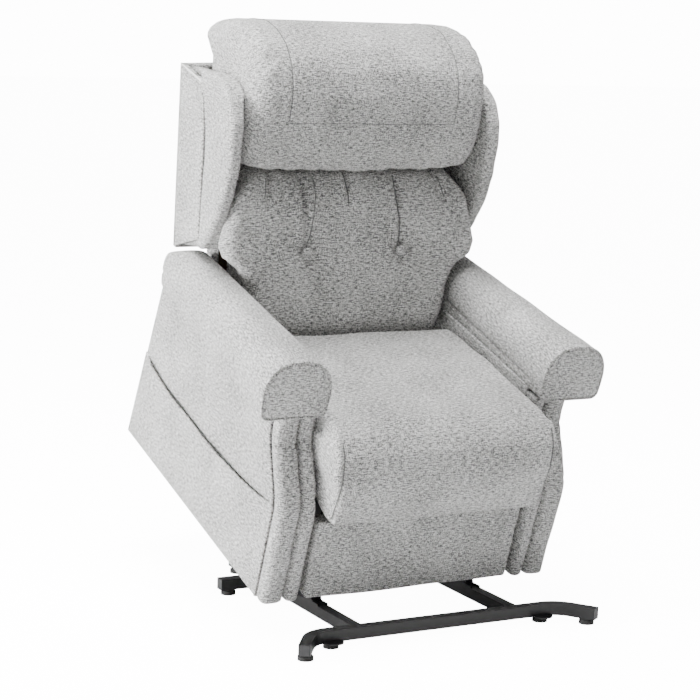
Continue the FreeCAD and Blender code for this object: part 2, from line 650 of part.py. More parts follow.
def back_parts():
    """The backrest: frame, rear cover, wings, lumbar cushion with buttons, head cushion and its crank."""
    hy, hz = back_hinge
    bottom = 345.0
    post_top = 960.0
    front, rear = 52.0, 14.0
    outline = [(lean_y(bottom, front), bottom), (lean_y(post_top, front), post_top),
               (lean_y(post_top, rear), post_top), (lean_y(bottom, rear), bottom)]
    frame = prism(outline, -250, 250)
    cut_low, cut_high = 440.0, 900.0
    window = prism([(lean_y(cut_low, front + 30), cut_low), (lean_y(cut_high, front + 30), cut_high),
                    (lean_y(cut_high, rear - 30), cut_high), (lean_y(cut_low, rear - 30), cut_low)], -205, 205)
    frame = frame.cut(window)
    pin_hole = xrod(-252, 252, hy, hz, pin_radius)
    big = 2000.0
    add("back_frame", *split(frame.cut(pin_hole), block(-big, big, 0, big, 0, cut_low),
                             block(-big, big, 0, big, cut_high, big), block(-big, 0, 0, big, cut_low, cut_high),
                             block(0, big, 0, big, cut_low, cut_high)), chair=True)
    add("back_springs", *[back_spring(z) for z in (520, 600, 680, 760, 840)], chair=True)
    cover = [(lean_y(bottom - 8, 12), bottom - 8), (lean_y(back_rear_top, 12), back_rear_top),
             (lean_y(back_rear_top, 0), back_rear_top), (lean_y(bottom - 8, 0), bottom - 8)]
    lower = prism(cover, -250, 250)
    upper_low = 505.0
    wide = [(lean_y(upper_low, 12), upper_low), (lean_y(930, 12), 930), (lean_y(930, 0), 930),
            (lean_y(upper_low, 0), upper_low)]
    add("back_rear_cover", lower.fuse(prism(wide, -wing_x + 1, wing_x - 1)).removeSplitter(), chair=True)
    for side, s in (("right", -1), ("left", 1)):
        rear_edge = [(lean_y(505, 12.5), 508), (lean_y(930, 12.5), 930)]
        seam = wing_seam
        outline = [rear_edge[0], seam[0], seam[1], (seam[1][0] + 26, 924), rear_edge[1]]
        front_edge = [(seam[1][0] - 5, seam[1][1]), (seam[0][0] - 5, seam[0][1] + 4)]
        board = prism(outline, wing_x - wing_panel, wing_x)
        add("wing_panel_" + side, board if s > 0 else mirrored(board), chair=True)
        pad = curved_prism(wing_crest, [(lean_y(940, 60), 930), (lean_y(575, 60), 575)],
                           wing_x - wing_thick, wing_x - wing_panel)
        pad = pad.fuse(curved_prism(wing_crest, front_edge, wing_x - wing_panel, wing_x)).removeSplitter()
        add("wing_pad_" + side, pad if s > 0 else mirrored(pad), chair=True)
    cushions()
    crank_parts()
    pins = [xrod(s0, s1, hy, hz, pin_radius - press_gap) for s0, s1 in ((-260.5, -205), (205, 260.5))]
    pins.append(xrod(drive_x_back - 18, drive_x_back + 18, *crank_pin, pin_radius - press_gap))
    add("back_pins", *pins, chair=True)
    hinge_plates = []
    for s in (-1, 1):
        x0, x1 = sorted((s * 252.5, s * 258.5))
        plate = prism([(hy - 16, hz + 16), (hy + 16, hz + 16), (hy + 16, hz - 16), (540, 200), (500, 200)], x0, x1)
        hinge_plates.append(plate.cut(xrod(x0 - 1, x1 + 1, hy, hz, pin_radius + pin_play)))
        x0, x1 = sorted((s * (side_plate_x + side_plate_thick), s * 258.5))
        hinge_plates.append(block(x0, x1, 500, 540, 192, 200))
    add("back_hinge_brackets", *hinge_plates, chair=True)


def back_spring(z):
    """A flat band of webbing across the backrest frame."""
    y = lean_y(z, 33)
    return block(-204.5, 204.5, y - 1.5, y + 1.5, z - 14, z + 14)


def lumbar_outline():
    """Side outline of the lumbar cushion."""
    spline = [(470, 345), (440, 380), (437, 430), (460, 520), (476, 590), (497, 660), (530, 742)]
    return spline, [(lean_y(742, 55), 742), (lean_y(348, 55), 348)]


def cushions():
    """Lumbar cushion, its two buttons and the head cushion."""
    spline, rest = lumbar_outline()
    low = curved_prism(spline, rest, -238, 238)
    high_spline = [(466, 560), (476, 590), (497, 660), (530, 742)]
    wide = curved_prism(high_spline, [(lean_y(742, 60), 742), (lean_y(560, 60), 560)], -268, 268)
    add("lumbar_cushion", low.fuse(wide).removeSplitter(), chair=True)
    buttons = []
    for s in (-1, 1):
        y = 472.0
        centre = V(s * button_x, y, button_z)
        normal = V(0, -math.cos(math.radians(back_lean)), math.sin(math.radians(back_lean)))
        buttons.append(Part.makeCylinder(button_radius, 5, centre, normal))
    add("back_buttons", *buttons, chair=True)
    head = [(545, 758), (508, 790), (500, 850), (508, 930), (541, 1000), (594, 1042), (668, 1048),
            (742, 1029), (796, 1008), (824, 990)]
    add("head_cushion", curved_prism(head, [(lean_y(990, 60), 988), (lean_y(758, 60), 758)],
                                     -head_half + 4, head_half - 4), chair=True)


def crank_parts():
    """The crank plates that the recline drive pulls, and their pin."""
    plates = []
    for x in (drive_x_back - 16, drive_x_back + 12):
        plates.append(link(x, x + 4, (lean_y(400, 40), 400), crank_pin, 24, (0, pin_radius)).cut(
            prism([(lean_y(345, 52), 345), (lean_y(500, 52), 500), (lean_y(500, 0), 500), (lean_y(345, 0), 345)],
                  x - 1, x + 5)))
    add("recline_crank", *plates, chair=True)


def electrics():
    """The control box under the seat with its mains inlet."""
    box = block(-130, -84, 470, 530, 150, 215)
    box = rounded(box, 4, lambda e: True)
    inlet = block(-120, -94, 522, 536, 170, 192)
    box = box.cut(block(-120.3, -93.7, 521.7, 540, 169.7, 192.3))
    pins = [rod((x, 522, 181), (x, 532, 181), 1.5) for x in (-112, -102)]
    inlet = inlet.cut(block(-118, -96, 526, 540, 172, 190))
    add("control_box", box, chair=True)
    add("mains_inlet", inlet.fuse([rod((p.BoundBox.Center.x, 525, 181), (p.BoundBox.Center.x, 533, 181), 1.5)
                                   for p in pins]).removeSplitter(), chair=True)
    shelf = block(-140, -74, 460, 550, 146, 150).fuse(block(-116, -98, 532, 548, 130, 146))
    add("control_box_shelf", shelf.removeSplitter(), chair=True)


base_parts()
lift_parts()
chassis_parts()
drive_parts()
legrest_parts()
arm_parts("right", -1)
arm_parts("left", 1)
add("side_pocket", mirrored(pocket()), chair=True)
seat_parts()
back_parts()
electrics()

os.makedirs("parts", exist_ok=True)
for name, shape in nodes.items():
    shape.exportStep("parts/" + name + ".step")
print(len(nodes), "nodes")
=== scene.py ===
"""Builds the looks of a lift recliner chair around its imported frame: soft covers, seams, buttons, finishes and
a stage."""

import json
import math

import bpy
import numpy as np
from bpy.props import FloatProperty, FloatVectorProperty, IntProperty, PointerProperty
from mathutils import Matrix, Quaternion, Vector


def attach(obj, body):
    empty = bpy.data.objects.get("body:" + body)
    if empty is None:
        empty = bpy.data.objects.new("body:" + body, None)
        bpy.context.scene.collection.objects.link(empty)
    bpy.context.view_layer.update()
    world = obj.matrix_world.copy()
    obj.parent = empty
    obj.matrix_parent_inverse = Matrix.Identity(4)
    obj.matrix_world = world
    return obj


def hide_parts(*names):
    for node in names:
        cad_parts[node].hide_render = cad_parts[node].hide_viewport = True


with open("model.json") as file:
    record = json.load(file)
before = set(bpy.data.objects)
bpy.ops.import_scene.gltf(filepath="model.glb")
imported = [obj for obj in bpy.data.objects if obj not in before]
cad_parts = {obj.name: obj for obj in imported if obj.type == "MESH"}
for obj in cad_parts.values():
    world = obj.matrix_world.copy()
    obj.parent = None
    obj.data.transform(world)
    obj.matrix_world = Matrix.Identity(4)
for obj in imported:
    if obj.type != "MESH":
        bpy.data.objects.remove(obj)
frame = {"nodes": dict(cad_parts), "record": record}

bl_info = {
    "name": "Lift recliner chair",
    "version": (1, 0, 0),
    "blender": (4, 5, 0),
    "location": "3D View > Sidebar > Chair",
    "description": "Upholstery, metal finishes and a stage for a lift recliner chair",
    "category": "Add Mesh",
}

FABRIC_SLOT = "grey_fabric"
ARM_TALL = 0.4205                           # height of the arm boxes
REAR_FOOT, REAR_TOP = 0.768, 0.696          # depth of their sloping rear edge, at the bottom and at the top
RIPPLE_WAVES = 14                           # cosines in one uneven field
CLOSING = (0.9, 0.75, 0.55, 0.35, 0.15)     # sizes of the rings that close an end
THIN_END = 0.012                            # ends rounded by less than this draw in evenly all round
CAMERA_PLACE = (-2.2095, -4.0372, 1.2924)
CAMERA_AZIMUTH, CAMERA_RISE = math.radians(-28.505), math.radians(9.251)
LIGHTS_AIM = (0, 0, 0.6)


def metres(name, description, default):
    """A length a user may change."""
    return FloatProperty(name=name, description=description, default=default, unit="LENGTH", precision=4)


def angle(name, description, degrees):
    """An angle a user may change."""
    return FloatProperty(name=name, description=description, default=math.radians(degrees), subtype="ANGLE")


def amount(name, description, default):
    """A plain number a user may change."""
    return FloatProperty(name=name, description=description, default=default)


def tint(name, description, default):
    """A colour a user may change."""
    return FloatVectorProperty(name=name, description=description, subtype="COLOR", default=default, min=0,
                               max=1)


class ChairBodySizes(bpy.types.PropertyGroup):
    """Where the tilted chair body stands."""
    tilt: angle("Tilt", "Forward tilt of the chair body", 17.0)
    corner_y: metres("Corner Y", "Bottom front edge of the arms", -0.2555)
    corner_z: metres("Corner height", "Height of the bottom front edge of the arms", 0.063)


class SeatSizes(bpy.types.PropertyGroup):
    """The seat cushion and the legrest pad."""
    half_width: metres("Half width", "Half of the cushion's width between the arms", 0.2555)
    ear: metres("Ear", "How far the roll stands out in front of the arms", 0.011)
    end_radius: metres("End rounding", "Rounding of the cushion's ends", 0.015)
    roll_seam: metres("Roll seam", "Distance of the roll's end seams from the middle", 0.2515)
    crown: metres("Crown", "How far the middle of the seat stands up", 0.006)
    leg_half: metres("Legrest half width", "Half of the legrest pad's width", 0.2505)


class BackSizes(bpy.types.PropertyGroup):
    """The cushions of the backrest and the wings."""
    lean: angle("Lean", "Backward lean from the chair body's upright", 14.0)
    head_half: metres("Head cushion half width", "Half of the head cushion's width", 0.293)
    panel_seam: metres("Panel seam", "Distance of the head cushion's seams from its middle", 0.207)
    button_x: metres("Button place", "Distance of each button from the middle", 0.118)
    button_z: metres("Button height", "Height of the buttons", 0.586)
    button_radius: metres("Button radius", "Radius of a covered button", 0.0115)
    wing_outer: metres("Wing face", "Outer face of the wings", 0.3355)
    wing_inner: metres("Wing inner face", "Inner face of the wings", 0.2855)


class ArmSizes(bpy.types.PropertyGroup):
    """The arms and the side pocket."""
    outer: metres("Outer face", "Outer face of the arm boxes", 0.350)
    inner: metres("Inner face", "Inner face of the arm boxes", 0.262)
    pad_half: metres("Pad half width", "Half of the arm top's width at the front", 0.0755)
    pad_rear_half: metres("Pad rear half width", "Half of the arm top's width at the back", 0.050)
    pad_low: metres("Pad underside", "Height of the arm top's underside", 0.4215)
    pad_top: metres("Pad top", "Height of the arm top", 0.550)
    pocket_room: metres("Pocket room", "How far the pocket stands off the arm", 0.0075)
    piping: metres("Piping radius", "Radius of the piping", 0.0024)


class Finishes(bpy.types.PropertyGroup):
    """Colours of the cloth, steel, rubber, plastic and wood."""
    cloth_light: tint("Light yarn", "Lighter yarn of the cloth", (0.86, 0.855, 0.84))
    cloth_dark: tint("Dark yarn", "Darker yarn of the cloth", (0.11, 0.108, 0.104))
    steel_black: tint("Powder coat", "Powder coat of the base", (0.002, 0.002, 0.0024))
    weave: amount("Weave size", "Length of one slub of yarn in metres", 0.0040)


class StageSizes(bpy.types.PropertyGroup):
    """The floor, the lights and the camera."""
    floor_half: metres("Floor half width", "Half of the floor's width", 30.0)
    lens: amount("Lens", "Focal length on a 36 mm sensor", 107.09)
    roll: angle("Roll", "Turn of the camera about its own axis", 2.008)
    key: amount("Key light", "Power of the key light in watts", 420.0)
    fill: amount("Fill light", "Power of the fill light in watts", 10.0)
    top: amount("Top light", "Power of the top light in watts", 270.0)
    room: amount("Room", "Brightness of the room on the chair", 0.32)
    backdrop: amount("Backdrop", "Brightness of the room as the camera sees it", 14.0)
    floor_glow: amount("Floor glow", "Brightness added to the floor as the camera sees it", 13.0)
    rows: IntProperty(name="Rows", description="Rows of faces along a long cushion", default=150)


# ------------------------------------------------------------------ shapes as arrays

def step(x):
    """0 below 0, 1 above 1, and a smooth rise between: 3 x squared minus 2 x cubed."""
    x = np.clip(x, 0, 1)
    return x * x * (3 - 2 * x)


def bell(x, width):
    """A bell curve of height 1: e to the minus (x over width) squared."""
    return np.exp(-(x / width) ** 2)


def ripples(x, y, z, size, seed, stretch=(1, 1, 1)):
    """A smooth uneven field between about -1 and 1: a mean of cosines, each of random direction and of a length
    near size.  stretch above 1 makes it finer along that direction."""
    rng = np.random.default_rng(seed)
    way = rng.normal(size=(RIPPLE_WAVES, 3))
    length = np.linalg.norm(way, axis=1, keepdims=True)
    way *= (2 * math.pi / size) * rng.uniform(0.6, 1.5, (RIPPLE_WAVES, 1)) / length
    points = np.stack([x, y, z], -1) * np.array(stretch)
    return np.cos(points @ way.T + rng.uniform(0, 6.283, RIPPLE_WAVES)).mean(-1) * 2.2


def outline(points, count, soften):
    """A closed outline: points evenly spaced along a polygon, each then averaged with its neighbours by a bell
    curve of that length, which rounds the corners."""
    p = np.asarray(points, float)
    q = np.vstack([p, p[:1]])
    s = np.concatenate([[0], np.cumsum(np.hypot(*np.diff(q, axis=0).T))])
    t = np.arange(count) / count * s[-1]
    out = np.stack([np.interp(t, s, q[:, k]) for k in range(2)], 1)
    f = np.fft.rfftfreq(count, d=s[-1] / count)
    keep = np.exp(-2 * (math.pi * f * soften) ** 2)[:, None]
    return np.fft.irfft(np.fft.rfft(out, axis=0) * keep, count, axis=0)


def line(points, count, soften=0.0):
    """An open line: points evenly spaced along it, each averaged with its neighbours, its two ends kept."""
    p = np.asarray(points, float)
    s = np.concatenate([[0], np.cumsum(np.linalg.norm(np.diff(p, axis=0), axis=1))])
    t = np.linspace(0, s[-1], count)
    out = np.stack([np.interp(t, s, p[:, k]) for k in range(p.shape[1])], 1)
    if soften > 0:
        reach = max(1, int(3 * soften / (s[-1] / count)))
        k = np.exp(-0.5 * (np.arange(-reach, reach + 1) * (s[-1] / count) / soften) ** 2)
        wide = np.vstack([2 * out[0] - out[reach:0:-1], out, 2 * out[-1] - out[-2:-reach - 2:-1]])
        out = np.stack([np.convolve(wide[:, c], k / k.sum(), "valid") for c in range(p.shape[1])], 1)
    return out


class Shell:
    """A closed surface: corners, faces as runs of corner numbers, and a flat coordinate in metres for each
    corner of each face."""

    def __init__(self, corners, faces, flat):
        self.corners, self.faces, self.flat = corners, faces, flat

    def normals(self):
        """Each corner's outward direction: the sum of its faces' cross products."""
        out = np.zeros_like(self.corners)
        for f in self.faces:
            p = self.corners[f]
            n = np.cross(p[:, 2] - p[:, 0], p[:, -1] - p[:, 1])
            for k in range(f.shape[1]):
                np.add.at(out, f[:, k], n)
        return out / np.maximum(np.linalg.norm(out, axis=1, keepdims=True), 1e-12)

    def outward(self):
        """Turns every face round if the volume, the sum of corner triple products, comes out negative."""
        volume = 0.0
        for f in self.faces:
            p = self.corners[f]
            for k in range(1, f.shape[1] - 1):
                volume += np.einsum("ij,ij->", p[:, 0], np.cross(p[:, k], p[:, k + 1]))
        if volume < 0:
            self.faces = [f[:, ::-1] for f in self.faces]
            self.flat = [u[:, ::-1] for u in self.flat]
        return self

    def push(self, amount):
        """Moves each corner along its normal by amount(x, y, z)."""
        x, y, z = self.corners.T
        self.corners = self.corners + self.normals() * amount(x, y, z)[:, None]
        return self

    def mirrored(self):
        """The same shell on the other side of the chair."""
        other = self.corners * np.array([-1.0, 1, 1])
        return Shell(other, [f[:, ::-1] for f in self.faces], [u[:, ::-1] for u in self.flat])


def tube_faces(m, n):
    """The faces of m rings of n corners each, followed by two tips: four-sided ones between the rings, and
    triangles from each tip to its ring."""
    i, j = np.meshgrid(np.arange(m - 1), np.arange(n), indexing="ij")
    k = (j + 1) % n
    quads = np.stack([i * n + j, (i + 1) * n + j, (i + 1) * n + k, i * n + k], -1).reshape(-1, 4)
    j, k = np.arange(n), (np.arange(n) + 1) % n
    first = np.stack([np.full(n, m * n), j, k], 1)
    last = np.stack([np.full(n, m * n + 1), (m - 1) * n + k, (m - 1) * n + j], 1)
    return quads, np.vstack([first, last])


def plain_tube(grid, tips):
    """A shell of rings and two tips, its flat coordinates taken from X and Z."""
    corners = np.vstack([grid.reshape(-1, 3), tips])
    faces = tube_faces(*grid.shape[:2])
    return Shell(corners, list(faces), [corners[f][:, :, [0, 2]] for f in faces]).outward()


def bolster(loop, low, high, radius, rows, bulge=0.004, shape=None):
    """A stuffed length: the outline is carried from low to high.  Near each end it draws in by radius along a
    quarter circle, and the end is closed by shrinking it to its middle.  low and high are numbers or one per
    outline point, and shape(across, outline) may alter the outline along the way."""
    n = len(loop)
    low, high = np.broadcast_to(low, n).astype(float), np.broadcast_to(high, n).astype(float)
    tangent = np.roll(loop, -1, 0) - np.roll(loop, 1, 0)
    normal = np.stack([tangent[:, 1], -tangent[:, 0]], 1)
    normal /= np.maximum(np.linalg.norm(normal, axis=1, keepdims=True), 1e-12)
    area = np.sum(loop[:, 0] * np.roll(loop[:, 1], -1) - np.roll(loop[:, 0], -1) * loop[:, 1])
    normal *= np.sign(area)
    phi = np.linspace(0, math.pi / 2, 7)
    middle = loop.mean(0)
    main = np.linalg.eigh(np.cov((loop - middle).T))[1]
    local = (loop - middle) @ main
    reach = np.abs(local).max(0)
    thin = radius < THIN_END

    def inset(amount):
        if thin:
            return loop - normal * amount
        return middle + (local * (1 - amount / reach)) @ main.T

    def end(edge, sign):
        made = []
        for a in phi[1:]:
            made.append((edge - sign * radius * (1 - math.sin(a)), inset(radius * (1 - math.cos(a)))))
        closed = inset(radius)
        for k in CLOSING:
            x = edge * k + edge.mean() * (1 - k) + sign * bulge * (1 - k * k)
            made.append((x, middle + (closed - middle) * k))
        return made
    left, right = end(low, -1), end(high, 1)
    body = [(low + radius + (high - low - 2 * radius) * t, loop) for t in np.linspace(0, 1, rows)]
    rings = left[::-1] + body + right
    grid = np.stack([np.column_stack([x, ring]) for x, ring in rings])
    if shape is not None:
        grid = shape(grid)
    tips = np.stack([grid[0].mean(0), grid[-1].mean(0)])
    corners = np.vstack([grid.reshape(-1, 3), tips])
    m = len(rings)
    quads, ends = tube_faces(m, n)
    i, j = np.divmod(quads[:, 0], n)
    run = np.concatenate([[0], np.cumsum(np.linalg.norm(np.diff(grid, axis=0), axis=2).mean(1))])
    around = np.concatenate([[0], np.cumsum(np.linalg.norm(np.roll(loop, -1, 0) - loop, axis=1))])
    u = np.stack([run[i], run[i + 1], run[i + 1], run[i]], -1)
    v = np.stack([around[j], around[j], around[j + 1], around[j + 1]], -1)
    flat = np.stack([u, v], -1)
    cap = (i <= len(CLOSING)) | (i >= m - len(CLOSING) - 2)
    flat[cap] = corners[quads[cap]][:, :, 1:]
    return Shell(corners, [quads, ends], [flat, corners[ends][:, :, 1:]]).outward()


def piping(path, radius, around=8):
    """A thin round cord along a line: a circle carried across the line's direction, closed at both ends."""
    path = np.asarray(path, float)
    t = np.gradient(path, axis=0)
    t /= np.linalg.norm(t, axis=1, keepdims=True)
    guide = np.array([0.31, 0.52, 0.79])
    a = np.cross(t, guide)
    a /= np.linalg.norm(a, axis=1, keepdims=True)
    b = np.cross(t, a)
    w = np.linspace(0, 2 * math.pi, around, endpoint=False)
    turn = np.cos(w)[None, :, None] * a[:, None] + np.sin(w)[None, :, None] * b[:, None]
    return plain_tube(path[:, None] + radius * turn, path[[0, -1]])


def sheet_slab(grid, thick, flat=(1, 2)):
    """A cloth panel of even thickness: the grid of points, a copy of it moved by the thick vector, and a rim.
    flat names the two directions that the weave runs along."""
    m, n = grid.shape[:2]
    corners = np.vstack([grid.reshape(-1, 3), (grid + thick).reshape(-1, 3)])
    i, j = np.meshgrid(np.arange(m - 1), np.arange(n - 1), indexing="ij")
    top = np.stack([i * n + j, (i + 1) * n + j, (i + 1) * n + j + 1, i * n + j + 1], -1).reshape(-1, 4)
    under = top[:, ::-1] + m * n
    edge = np.concatenate([np.arange(n), np.arange(1, m) * n + n - 1,
                           (m - 1) * n + np.arange(n - 2, -1, -1), np.arange(m - 2, 0, -1) * n])
    nxt = np.roll(edge, -1)
    rim = np.stack([edge, nxt, nxt + m * n, edge + m * n], 1)
    faces = np.vstack([top, under, rim])
    return Shell(corners, [faces], [corners[faces][:, :, list(flat)]]).outward()


def joined(*shells):
    """Several shells as one."""
    corners, faces, flat, base = [], [], [], 0
    for s in shells:
        corners.append(s.corners)
        faces += [f + base for f in s.faces]
        flat += s.flat
        base += len(s.corners)
    return Shell(np.vstack(corners), faces, flat)


def face_depth(near, x, z):
    """Depth of a cushion's face at places across it, from the four corners nearest to each."""
    gap = (near[None, :, 0] - np.reshape(x, (-1, 1))) ** 2 + (near[None, :, 2] - z[:, None]) ** 2
    return np.sort(near[np.argsort(gap, axis=1)[:, :4], 1], axis=1)[:, 1]


def chair_to_row(points):
    """Chair body points, whose origin is the bottom front edge of the arms, turned by the tilt and moved."""
    p = bpy.context.scene.chair_body
    c, s = math.cos(p.tilt), math.sin(p.tilt)
    x, y, z = np.asarray(points, float).T
    return np.stack([x, p.corner_y + y * c - z * s, p.corner_z + y * s + z * c], 1)


def make_piece(name, shell, material, body, nodes=()):
    """Puts a shell into a mesh object in the row frame, shades it smooth and ties it to its body."""
    shell.corners = chair_to_row(shell.corners)
    mesh = bpy.data.meshes.new(name)
    loops = np.concatenate([f.ravel() for f in shell.faces])
    sizes = np.concatenate([np.full(len(f), f.shape[1]) for f in shell.faces])
    mesh.vertices.add(len(shell.corners))
    mesh.vertices.foreach_set("co", shell.corners.astype(np.float32).ravel())
    mesh.loops.add(len(loops))
    mesh.loops.foreach_set("vertex_index", loops.astype(np.int32))
    mesh.polygons.add(len(sizes))
    mesh.polygons.foreach_set("loop_start", np.concatenate([[0], np.cumsum(sizes)[:-1]]).astype(np.int32))
    mesh.polygons.foreach_set("loop_total", sizes.astype(np.int32))
    mesh.polygons.foreach_set("use_smooth", np.ones(len(sizes), bool))
    uv = mesh.uv_layers.new(name="UVMap")
    flat = np.concatenate([u.reshape(-1, 2) for u in shell.flat])
    uv.data.foreach_set("uv", flat.astype(np.float32).ravel())
    mesh.update(calc_edges=True)
    if mesh.validate(clean_customdata=False):
        raise RuntimeError(name + " has broken faces")
    piece = bpy.data.objects.new(name, mesh)
    bpy.context.scene.collection.objects.link(piece)
    mesh.materials.append(material)
    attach(piece, body)
    if nodes:
        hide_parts(*nodes)


def make_pair(body, *rows):
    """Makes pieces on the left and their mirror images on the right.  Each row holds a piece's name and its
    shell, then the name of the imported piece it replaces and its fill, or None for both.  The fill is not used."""
    for side, mirror in (("left", False), ("right", True)):
        for title, shell, node, fill in rows:
            part = shell.mirrored() if mirror else Shell(shell.corners, shell.faces, shell.flat)
            make_piece(title + side, part, cloth(), body, [node + side] if node else ())


# ------------------------------------------------------------------ finishes

class Sock:
    """A node socket that takes part in sums: each operator adds a Math node."""

    def __init__(self, build, socket):
        self.build, self.socket = build, socket

    def _with(self, other, operation, swap=False):
        pair = (other, self) if swap else (self, other)
        return self.build.math(operation, *pair)

    def __add__(self, o):
        return self._with(o, "ADD")

    def __radd__(self, o):
        return self._with(o, "ADD", True)

    def __sub__(self, o):
        return self._with(o, "SUBTRACT")

    def __rsub__(self, o):
        return self._with(o, "SUBTRACT", True)

    def __mul__(self, o):
        return self._with(o, "MULTIPLY")

    def __rmul__(self, o):
        return self._with(o, "MULTIPLY", True)


class Finish:
    """A material under construction."""

    def __init__(self, name):
        self.material = bpy.data.materials.new(name)
        self.material.use_nodes = True
        self.tree = self.material.node_tree
        self.shader = next(n for n in self.tree.nodes if n.type == "BSDF_PRINCIPLED")

    def put(self, socket, value):
        """Sets a socket to a number, a colour or a link."""
        if isinstance(value, Sock):
            self.tree.links.new(value.socket, socket)
        elif value is not None:
            socket.default_value = value

    def node(self, kind, settings=None, stops=None, out=0, **inputs):
        """Adds a node of a type, with its settings, then its sockets, and gives back one of its outputs."""
        made = self.tree.nodes.new(kind)
        for key, value in (settings or {}).items():
            setattr(made, key, value)
        if stops:
            ramp = made.color_ramp
            while len(ramp.elements) < len(stops):
                ramp.elements.new(0.5)
            for element, (place, colour) in zip(ramp.elements, stops):
                element.position = place
                element.color = (*colour, 1.0)
        for key, value in inputs.items():
            numbered = key[0] == "i" and key[1:].isdigit()
            name = int(key[1:]) if numbered else key.replace("_", " ")
            self.put(made.inputs[name], value)
        return Sock(self, made.outputs[out])

    def math(self, operation, a, b=None):
        """One Math node."""
        return self.node("ShaderNodeMath", {"operation": operation}, i0=a, i1=b)

    def mix(self, factor, a, b):
        """A colour between two, by a factor."""
        made = self.tree.nodes.new("ShaderNodeMix")
        made.data_type = "RGBA"
        self.put(made.inputs[0], factor)
        self.put(made.inputs[6], a)
        self.put(made.inputs[7], b)
        return Sock(self, made.outputs[2])

    def place(self, scale, kind="UV"):
        """The surface's own coordinates, times a scale for each direction."""
        where = self.node("ShaderNodeTexCoord", out=kind)
        return self.node("ShaderNodeMapping", Vector=where, Scale=scale)

    def noise(self, vector, size, detail=2.0, rough=0.5):
        """A noise between 0 and 1."""
        return self.node("ShaderNodeTexNoise", Vector=vector, Scale=size, Detail=detail, Roughness=rough)

    def done(self, **sockets):
        """Links or sets the shader's sockets."""
        for key, value in sockets.items():
            self.put(self.shader.inputs[key.replace("_", " ")], value)
        return self.material


def rgba(colour, gain=1.0):
    """A colour with full alpha."""
    return (*[min(1.0, c * gain) for c in colour], 1.0)


def woven_cloth():
    """Heathered basket weave: short slubs of light and dark yarn both ways, over a fine over-and-under."""
    looks = bpy.context.scene.chair_finishes
    f = Finish("heathered weave")
    pitch = looks.weave
    weft = f.noise(f.place((0.36 / pitch, 1.5 / pitch, 1)), 1.0, 2.0, 0.6)
    warp = f.noise(f.place((1.6 / pitch, 0.5 / pitch, 1)), 1.0, 2.0, 0.6)
    speck = f.noise(f.place((1.1 / pitch, 1.1 / pitch, 1)), 1.7, 1.0, 0.5)
    broad = f.noise(f.place((9, 9, 1)), 1.0, 2.0, 0.5)
    tone = weft * 0.55 + warp * 0.35 + speck * 0.45 + broad * 0.10 - 0.24
    ramp = f.node("ShaderNodeValToRGB", stops=[(0.40, (0, 0, 0)), (0.585, (1, 1, 1))], Fac=tone)
    colour = f.mix(ramp, rgba(looks.cloth_dark), rgba(looks.cloth_light))
    over, under = (f.node("ShaderNodeTexWave", {"bands_direction": way}, Vector=f.place((1, 1, 1)),
                          Scale=1.0 / (pitch * 0.42), Distortion=2.0, Detail=1.0) for way in "XY")
    height = over * 0.3 + under * 0.4 + weft * 0.8 + speck * 0.5
    bump = f.node("ShaderNodeBump", Height=height, Strength=0.5, Distance=0.0016)
    return f.done(Base_Color=colour, Roughness=0.92, Sheen_Weight=0.25, Sheen_Roughness=0.5,
                  Specular_IOR_Level=0.2, Normal=bump)


def solid_finish(name, colour, roughness, grain, metallic=0.0, size=900.0, bump=0.25):
    """A powder-coated, moulded or bare surface: one colour, broken up by noise in tone, gloss and height."""
    f = Finish(name)
    fine = f.noise(f.place((1, 1, 1), "Object"), size, 3.0, 0.6)
    wide = f.noise(f.place((1, 1, 1), "Object"), 14.0, 3.0, 0.6)
    tone = f.mix(wide, rgba(colour, 1 - grain), rgba(colour, 1 + grain))
    gloss = wide * 0.12 + fine * 0.08 + (roughness - 0.10)
    height = f.node("ShaderNodeBump", Height=fine, Strength=bump, Distance=0.0003)
    return f.done(Base_Color=tone, Roughness=gloss, Metallic=metallic, Normal=height)


def planed_wood():
    """Frame timber: long stretched rings along X."""
    f = Finish("frame timber")
    grain = f.noise(f.place((3, 60, 60), "Object"), 1.0, 4.0, 0.6)
    rings = [(0.3, (0.10, 0.065, 0.04)), (0.7, (0.20, 0.14, 0.09))]
    ramp = f.node("ShaderNodeValToRGB", stops=rings, Fac=grain)
    height = f.node("ShaderNodeBump", Height=grain, Strength=0.3, Distance=0.0006)
    return f.done(Base_Color=ramp, Roughness=0.62, Normal=height)


def seam_shade():
    """Painted shade: a dark colour for the cords laid in the seams and pleats, also standing for the seams'
    stitch line.
    """
    done = bpy.data.materials.get("painted seam shade")
    return done or solid_finish("painted seam shade", (0.16, 0.16, 0.155), 0.85, 0.2, size=2500.0, bump=0.4)


def cloth():
    """The one cloth material."""
    return bpy.data.materials.get("heathered weave") or woven_cloth()


# ------------------------------------------------------------------ pieces

class CHAIR_OT_finishes(bpy.types.Operator):
    """Gives every carried-over metal, rubber, plastic and timber piece its finish"""
    bl_idname = "chair.finishes"
    bl_label = "Frame finishes"

    def execute(self, context):
        looks = context.scene.chair_finishes
        made = {
            "black_steel": solid_finish("black powder coat", looks.steel_black, 0.34, 0.15, size=1400.0,
                                        bump=0.2),
            "bright_steel": solid_finish("bright steel", (0.56, 0.56, 0.57), 0.30, 0.10, metallic=1.0),
            "black_rubber": solid_finish("black rubber", (0.022, 0.022, 0.022), 0.78, 0.25, size=500.0,
                                         bump=0.5),
            "black_plastic": solid_finish("moulded plastic", (0.032, 0.032, 0.034), 0.52, 0.12, size=700.0,
                                          bump=0.4),
            "wood": planed_wood(),
            FABRIC_SLOT: cloth(),
        }
        slots = {row["node"]: row["material_slot"] for row in frame["record"]["subparts"]}
        for name, node in frame["nodes"].items():
            node.data.materials.clear()
            node.data.materials.append(made[slots[name]])
        return {"FINISHED"}


def lean_line(z, forward=0.0):
    """Depth of the backrest's rear face at a height, moved forwards."""
    return 0.700 + (z - 0.466) * math.tan(bpy.context.scene.chair_back.lean) - forward


